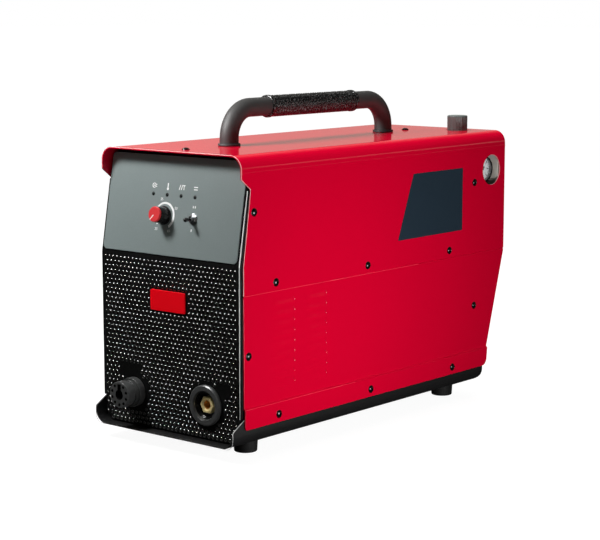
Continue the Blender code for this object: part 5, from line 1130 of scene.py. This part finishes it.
def gauge_bezel():
    """The gauge's case: a cup with a rolled rim."""
    corners = ((0, -5.5), (13.8, -5.5), (13.4, -0.4), (13.7, 0.0), (15.5, 0.0), (15.5, -14.0), (4.0, -14.0),
               (4.0, -26.0), (0, -26.0))
    return lathe(corners, (0, 0.2, 0.2, 0.3, 0.6, 0.8, 0.3, 0.3, 0), 64)


def dial_marks():
    """Black strokes on the dial: long ones at every sixth of the sweep and short ones between, with
    numbers."""
    marks = []
    for step in range(31):
        angle = GAUGE_START - 9.0 * step
        if step % 5:
            marks.append(spoke(12.1, angle, 1.8, 0.7, 0.06))
        else:
            marks.append(spoke(11.4, angle, 3.2, 1.3, 0.06))
            marks.append(lettering(str(step // 5 * 2), 2.6, FACES_UP, polar(8.3, math.radians(angle), 0.02)))
    return gather(*marks)


def needle_shape():
    """The needle: a thin blade from tail to point on a small hub."""
    outline = np.array(((10.8, 0), (0, 1.1), (-4.0, 1.2), (-4.0, -1.2), (0, -1.1)))
    blade = slab(spun(outline, GAUGE_START), (-4.2, -3.9))
    hub = lathe(((1.5, -4.4), (1.5, -3.5), (0, -3.3)), (0, 0.3, 0), 24)
    return gather(blade, hub)


def gauge_rim():
    """The rear half of the gauge hole's edge: an arc on the cover's side."""
    turn = np.linspace(-1.7, 1.7, 40)
    return placed(HALF - 0.35, REGULATOR_AT[1] + 18.25 * np.cos(turn), GAUGE_Z + 18.25 * np.sin(turn))


def pull_knob():
    """The regulator's knob: a plain top with a rounded rim over a barrel that waves twenty times round."""
    def ribs(radius, height, angle):
        ribbed = (radius > 12.3) & (height < 16.0) | (height < -3.0) & (radius > 11)
        return 1 - 0.030 * ribbed * (0.5 + 0.5 * np.cos(20 * angle))
    corners = ((0, 17.7), (9.6, 18.0), (12.4, 18.0), (12.4, -4.0), (5.3, -4.0), (5.3, 11.0))
    return lathe(corners, (0, 2.0, 1.5, 0.4, 0.2, 0), 288, outline=ribs)


for side, word, facing in SIDES:
    piece(f"side_label_{word}", label_shape(side, facing), LABEL)
card = lathe(((0, -4.6), (13.7, -4.6), (13.7, -5.2), (0, -5.2)), (0, 0.1, 0.1, 0), 64)
lens = lathe(((0, -0.8), (13.3, -1.0), (13.3, -2.2), (0, -2.2)), (0, 0.2, 0.1, 0), 64)
piece("gauge_cup", set_at(gauge_bezel(), *GAUGE), KNOB, ["gauge_case"])
piece("gauge_card", set_at(card, *GAUGE), DIAL, ["gauge_dial"])
piece("gauge_print", set_at(raised(dial_marks(), -4.6), *GAUGE), INK)
piece("gauge_pointer", set_at(needle_shape(), *GAUGE), INK, ["gauge_needle"], "needle")
# A pale pink bead on the rear half of the gauge hole's edge: painted highlight.
piece("gauge_hole_painted_highlight", bead(gauge_rim(), 0.34, (1, 0, 0)), PINK_HIGHLIGHT)
piece("gauge_glass", set_at(lens, *GAUGE), GLASS, ["gauge_lens"])
flange = slab(np.array(((96.0, 235.0), (100.9, 235.0), (100.9, 236.5), (96.0, 236.5))), (250.0, 300.0))
piece("bracket_flange", flange, ZINC, edge=0.3)
piece("pull_knob", set_at(pull_knob(), (*REGULATOR_AT, TOP)), PULL, ["regulator_knob"],
      "pressure_knob")


# Rear fittings

FAN = FAN_AT, FACES_FAN
SWITCH = SWITCH_AT, FACES_REAR
BLADES = 7


def guard_grille():
    """The fan guard's grille: thin rounded rings at even radii, a hub, and eight flat ribs out from it."""
    section = np.array(((-1.3, 0.3), (1.3, 0.3), (1.3, 2.3), (-1.3, 2.3), (-1.3, 0.3)))
    radii = np.arange(12.0, 57.0, 7.4)
    rings = [lathe(section + (radius, 0), (0, 0.3, 0.8, 0.8, 0), 72, 3) for radius in radii]
    hub = lathe(((0, 0.3), (13.0, 0.3), (13.0, 2.2), (0, 2.2)), (0, 0.2, 0.6, 0), 48)
    ribs = [raised(spoke(35.0, 45 * number, 46.0, 2.4, 1.6), 0.4) for number in range(8)]
    return gather(*rings, hub, *ribs)


def guard_frame():
    """The guard's square frame: a pierced plate with rounded corners."""
    return raised(moulded_face(62.0, -62.0, 62.0, 4.5, 0.7, 2.0, [(0, 0, 57.0, 59.5)]), 2.3)


def fan_rotor_shape():
    """The rotor: a hub and seven swept blades; a blade's point (i, j) lies at radius i, and its chord j
    turns and sinks with radius."""
    hub = lathe(((0, -5.0), (18.5, -5.0), (19.5, -6.0), (19.5, -22.0), (0, -22.0)), (0, 0.3, 0.8, 0.3, 0), 48)
    root, tip = 18.0, 55.5
    radius = np.linspace(root, tip, 14)[:, None]
    chord = np.linspace(-1, 1, 9)[None]
    angle = 0.010 * (radius - root) + np.interp(radius, (root, tip), (0.42, 0.36)) * chord
    height = -13.5 - 7.2 * chord * np.interp(radius, (root, tip), (1.0, 0.85)) + 1.2 * chord ** 2
    half = np.array((0, 0, 0.6))
    shapes = [hub]
    for number in range(BLADES):
        blade = polar(radius, angle + 2 * math.pi * number / BLADES, height)
        shapes.append(loft(np.concatenate([blade + half, blade[:, ::-1] - half], 1), (True, True)))
    return gather(*shapes)


def switch_plate():
    """The mains switch's plate: a rounded square face pierced for the neck."""
    return raised(moulded_face(24.0, -24.0, 24.0, 3.0, 0.6, 3.7, [(0, 0, 10.3, 13.0)], 8.0), 4.0)


def switch_knob():
    """The mains switch's knob: a round base and a long grip with rounded ends and a crowned top."""
    base = lathe(((4.0, 4.3), (17.0, 4.3), (17.0, 10.3), (0, 10.8)), (0, 0.3, 1.5, 0), 64)
    half = np.array((5.0, 16.5))
    outline = softened(half * ((-1, -1), (1, -1), (1, 1), (-1, 1)), 3.3, 6, closed=True)
    steps = ((0, 9.5), (0, 22.0), (0.3, 23.2), (1.0, 24.0), (2.0, 24.3))
    rings = [placed(*(outline * (1 - inset / half)).T, height) for inset, height in steps]
    return gather(base, loft(rings, (True, True)))


def switch_marks():
    """ON and OFF beside the switch's knob."""
    turned_on = lettering("ON", 4.0, FACES_UP, (18.6, 0, 4.0))
    return gather(turned_on, lettering("OFF", 3.6, FACES_UP, (0, 20.6, 4.0)))


def gland_shape():
    """The cable gland: a hexagon body, a ribbed dome nut and an open bore."""
    body = six_sided(lambda radius, height: np.interp(height, (8.3, 8.5), (1, 0)) * (radius > 10))

    def ribs(radius, height, angle):
        ribbed = (height > 8.8) & (radius > 8.8) & (np.cos(18 * angle) > 0.3)
        return body(radius, height, angle) * (1 - 0.03 * ribbed)
    corners = ((9.5, -1.2), (9.5, 0.3), (13.8, 0.3), (13.8, 8.5), (12.4, 8.5), (12.4, 14.0), (8.5, 22.0),
               (6.5, 22.0), (6.5, -8.0))
    return lathe(corners, (0, 0, 0.4, 0.6, 0.2, 1.5, 0.8, 0.4, 0), 144, outline=ribs)


def inlet_shape():
    """The air inlet: a hexagon flange and a barbed hose tail, bored through."""
    tip, root = 26.0, 8.3
    edges = np.linspace(tip, root, 4)
    barbs = [spot for top, low in zip(edges, edges[1:]) for spot in ((4.5, top), (6.0, low))]
    corners = [(1.9, -3.0), (1.9, tip)] + barbs + [(9.8, root), (9.8, 0.3), (7.0, 0.3)]
    radii = [0, 0.3] + [0.2] * 6 + [0.5, 0.3, 0]
    return lathe(corners, radii, 96, 4, six_sided(lambda radius, height: radius > 8.0))


piece("guard_grille", set_at(guard_grille(), *FAN), REAR_PLASTIC)
piece("guard_frame", set_at(guard_frame(), *FAN), REAR_PLASTIC, ["fan_guard"],
      outside=(0, 1, 0))
piece("fan_wheel", set_at(fan_rotor_shape(), *FAN), REAR_PLASTIC, ["fan_rotor"], "rotor")
piece("switch_plate", set_at(switch_plate(), *SWITCH), GREY_PLASTIC, ["mains_switch_plate"],
      outside=(0, 1, 0))
piece("switch_marks", set_at(switch_marks(), *SWITCH), PRINT)
piece("switch_knob", set_at(switch_knob(), *SWITCH), REAR_PLASTIC, ["mains_switch_knob"],
      "switch_knob")
tick = raised(bar(0, 11.5, 1.2, 9.0, 0.15), 24.25)
piece("switch_pointer", set_at(tick, *SWITCH), PRINT, body="switch_knob")
piece("gland_nut", set_at(gland_shape(), GLAND_AT, FACES_REAR), REAR_PLASTIC,
      ["mains_gland"])
piece("hose_tail", set_at(inlet_shape(), INLET_AT, FACES_REAR), BRASS, ["air_inlet"])


# CAD nodes that keep their shape and take a finish

for coat, *names in ((HOSE, "air_hose"),
                     (BOARD, "control_board", "power_board"),
                     (ZINC, "current_potentiometer", "handle_bolt_front", "handle_bolt_rear",
                      "regulator_bracket"),
                     (ALLOY, "current_shaft", "heat_sink", "regulator_body"),
                     (MOULDED, "fan_frame", "mains_gland_locknut", "mains_switch_block", "power_module"),
                     (BRASS, "regulator_spindle", "solenoid_valve"),
                     (NICKEL, "toggle_body"),
                     (COPPER, "transformer_coil"),
                     (FERRITE, "transformer_core")):
    for name in names:
        NODES[name].data.materials.clear()
        NODES[name].data.materials.append(coat)


# Studio

def lamp(name, place, aim, size, power, mirrored, lights=True):
    """A square soft lamp at a place, facing its aim; reflections show it or not, and it lights surfaces or
    not."""
    data = bpy.data.lights.new(name, "AREA")
    data.shape, data.size, data.energy = "SQUARE", size, power
    made = bpy.data.objects.new(name, data)
    made.location = place
    back = np.subtract(place, aim)
    back /= np.linalg.norm(back)
    made.rotation_euler = (math.acos(back[2]), 0, math.atan2(back[0], -back[1]))
    made.visible_camera, made.visible_glossy, made.visible_diffuse = False, mirrored, lights
    SCENE.collection.objects.link(made)


def ray_kinds(tree):
    """1 for camera rays, and 1 for glossy and transmission rays."""
    path = add_node(tree, "LightPath").outputs
    glossy = worked(tree, "MAXIMUM", path["Is Glossy Ray"], path["Is Transmission Ray"])
    return path["Is Camera Ray"], glossy


def studio_world():
    """A white backdrop for camera rays; for glossy ones a pale warm wall behind and to the left, a thin
    light skyline to the right and a dim room elsewhere; and a soft fill for the rest."""
    world = bpy.data.worlds.new("studio")
    world.use_nodes = True
    SCENE.world = world
    tree = world.node_tree
    camera, glossy = ray_kinds(tree)
    place = add_node(tree, "TexCoord").outputs["Generated"]
    across, ahead, up = add_node(tree, "SeparateXYZ", {0: place}).outputs

    def eased(*values):
        return ranged(tree, *values, change="SMOOTHSTEP")

    backdrop = worked(tree, "MULTIPLY", eased(across, -0.55, 0.10, 0.40, 0), eased(ahead, -0.4, 0.3, 0, 1))
    skyline = worked(tree, "MULTIPLY", eased(up, 0.03, 0.05, 0, 1), eased(up, 0.10, 0.14, 0.8, 0))
    skyline = worked(tree, "MULTIPLY", skyline, eased(across, 0.25, 0.40, 0, 1))
    room = eased(worked(tree, "MAXIMUM", backdrop, skyline), 0, 1, 0.012, 1)
    shown = worked(tree, "MULTIPLY", room, glossy)
    level = worked(tree, "ADD", shown, eased(glossy, 0, 1, 0.10, 0))
    sky = tree.nodes["Background"].inputs
    tree.links.new(mixed(tree, camera, (1, 0.97, 0.86, 1), (1, 1, 1, 1)), sky["Color"])
    tree.links.new(worked(tree, "MAXIMUM", level, camera), sky["Strength"])


def flat_sheet(name, low, high, z):
    """A level sheet of the studio between two corners, and its node tree without a shader."""
    (left, front), (right, back) = low, high
    mesh = bpy.data.meshes.new(name)
    corners = ((left, front, z), (right, front, z), (right, back, z), (left, back, z))
    mesh.from_pydata(corners, [], [(0, 1, 2, 3)])
    made = bpy.data.objects.new(name, mesh)
    SCENE.collection.objects.link(made)
    coat = bpy.data.materials.new(name)
    coat.use_nodes = True
    tree = coat.node_tree
    tree.nodes.remove(tree.nodes["Principled BSDF"])
    mesh.materials.append(coat)
    return made, tree


def shade(tree, shader):
    """A shader node made the surface of its material."""
    tree.links.new(shader.outputs[0], tree.nodes["Material Output"].inputs["Surface"])


def studio_floor():
    """A pale floor that shows white to the camera, more so the farther it is from the object, keeps a soft
    shadow and is nearly dark in reflections."""
    _, tree = flat_sheet("studio_floor", (-30.0, -30.0), (30.0, 30.0), 0)
    camera, glossy = ray_kinds(tree)
    place = add_node(tree, "TexCoord").outputs["Object"]
    reach = add_node(tree, "VectorMath", {0: place}, operation="LENGTH").outputs["Value"]
    white = worked(tree, "MULTIPLY", ranged(tree, reach, 0.45, 1.6, 0.94, 1.0), camera)
    glow = add_node(tree, "Emission", {"Strength": white}).outputs[0]
    plain = add_node(tree, "BsdfDiffuse", {"Color": (0.15, 0.15, 0.15, 1)}).outputs[0]
    lit = add_node(tree, "AddShader", {0: plain, 1: glow}).outputs[0]
    dim = add_node(tree, "Emission", {"Strength": 0.02}).outputs[0]
    shade(tree, add_node(tree, "MixShader", {0: glossy, 1: lit, 2: dim}))


def dark_card():
    """A dark card on the floor beside the object, which only reflections see."""
    made, tree = flat_sheet("dark_card", (0.16, -0.55), (3.0, 4.0), 0.002)
    shade(tree, add_node(tree, "BsdfDiffuse", {"Color": (0.004, 0.004, 0.004, 1)}))
    made.visible_camera = made.visible_diffuse = made.visible_shadow = made.visible_transmission = False


def photo_camera():
    """The camera at the photograph's angle."""
    data = bpy.data.cameras.new("photo_camera")
    data.lens, data.sensor_width, data.sensor_fit = 104.95, 36.0, "HORIZONTAL"
    data.clip_end = 100.0
    made = bpy.data.objects.new("photo_camera", data)
    made.location = (1.2922, -1.5582, 0.4723)
    made.rotation_euler = (math.radians(90 - 8.59), math.radians(0.06), math.radians(40.06))
    SCENE.collection.objects.link(made)
    SCENE.camera = made


SCENE.view_settings.view_transform = "Standard"
studio_world()
studio_floor()
dark_card()
photo_camera()
lamp("key_lamp", (-0.22, -0.52, 0.67), (0, -0.23, 0.24), 0.14, 3.9, True)
lamp("glint_lamp", (-0.22, -0.52, 0.67), (0, -0.23, 0.24), 0.09, 7.0, True, False)
lamp("top_lamp", (-0.22, 0.15, 1.5), (0, 0.0, 0.3), 0.8, 25.0, False)
lamp("side_lamp", (0.60, -0.13, 0.08), (0.1, -0.05, 0.12), 0.30, 3.4, True)
lamp("back_lamp", (-0.70, 1.30, 0.90), (0, 0.2, 0.2), 0.8, 9.0, False)
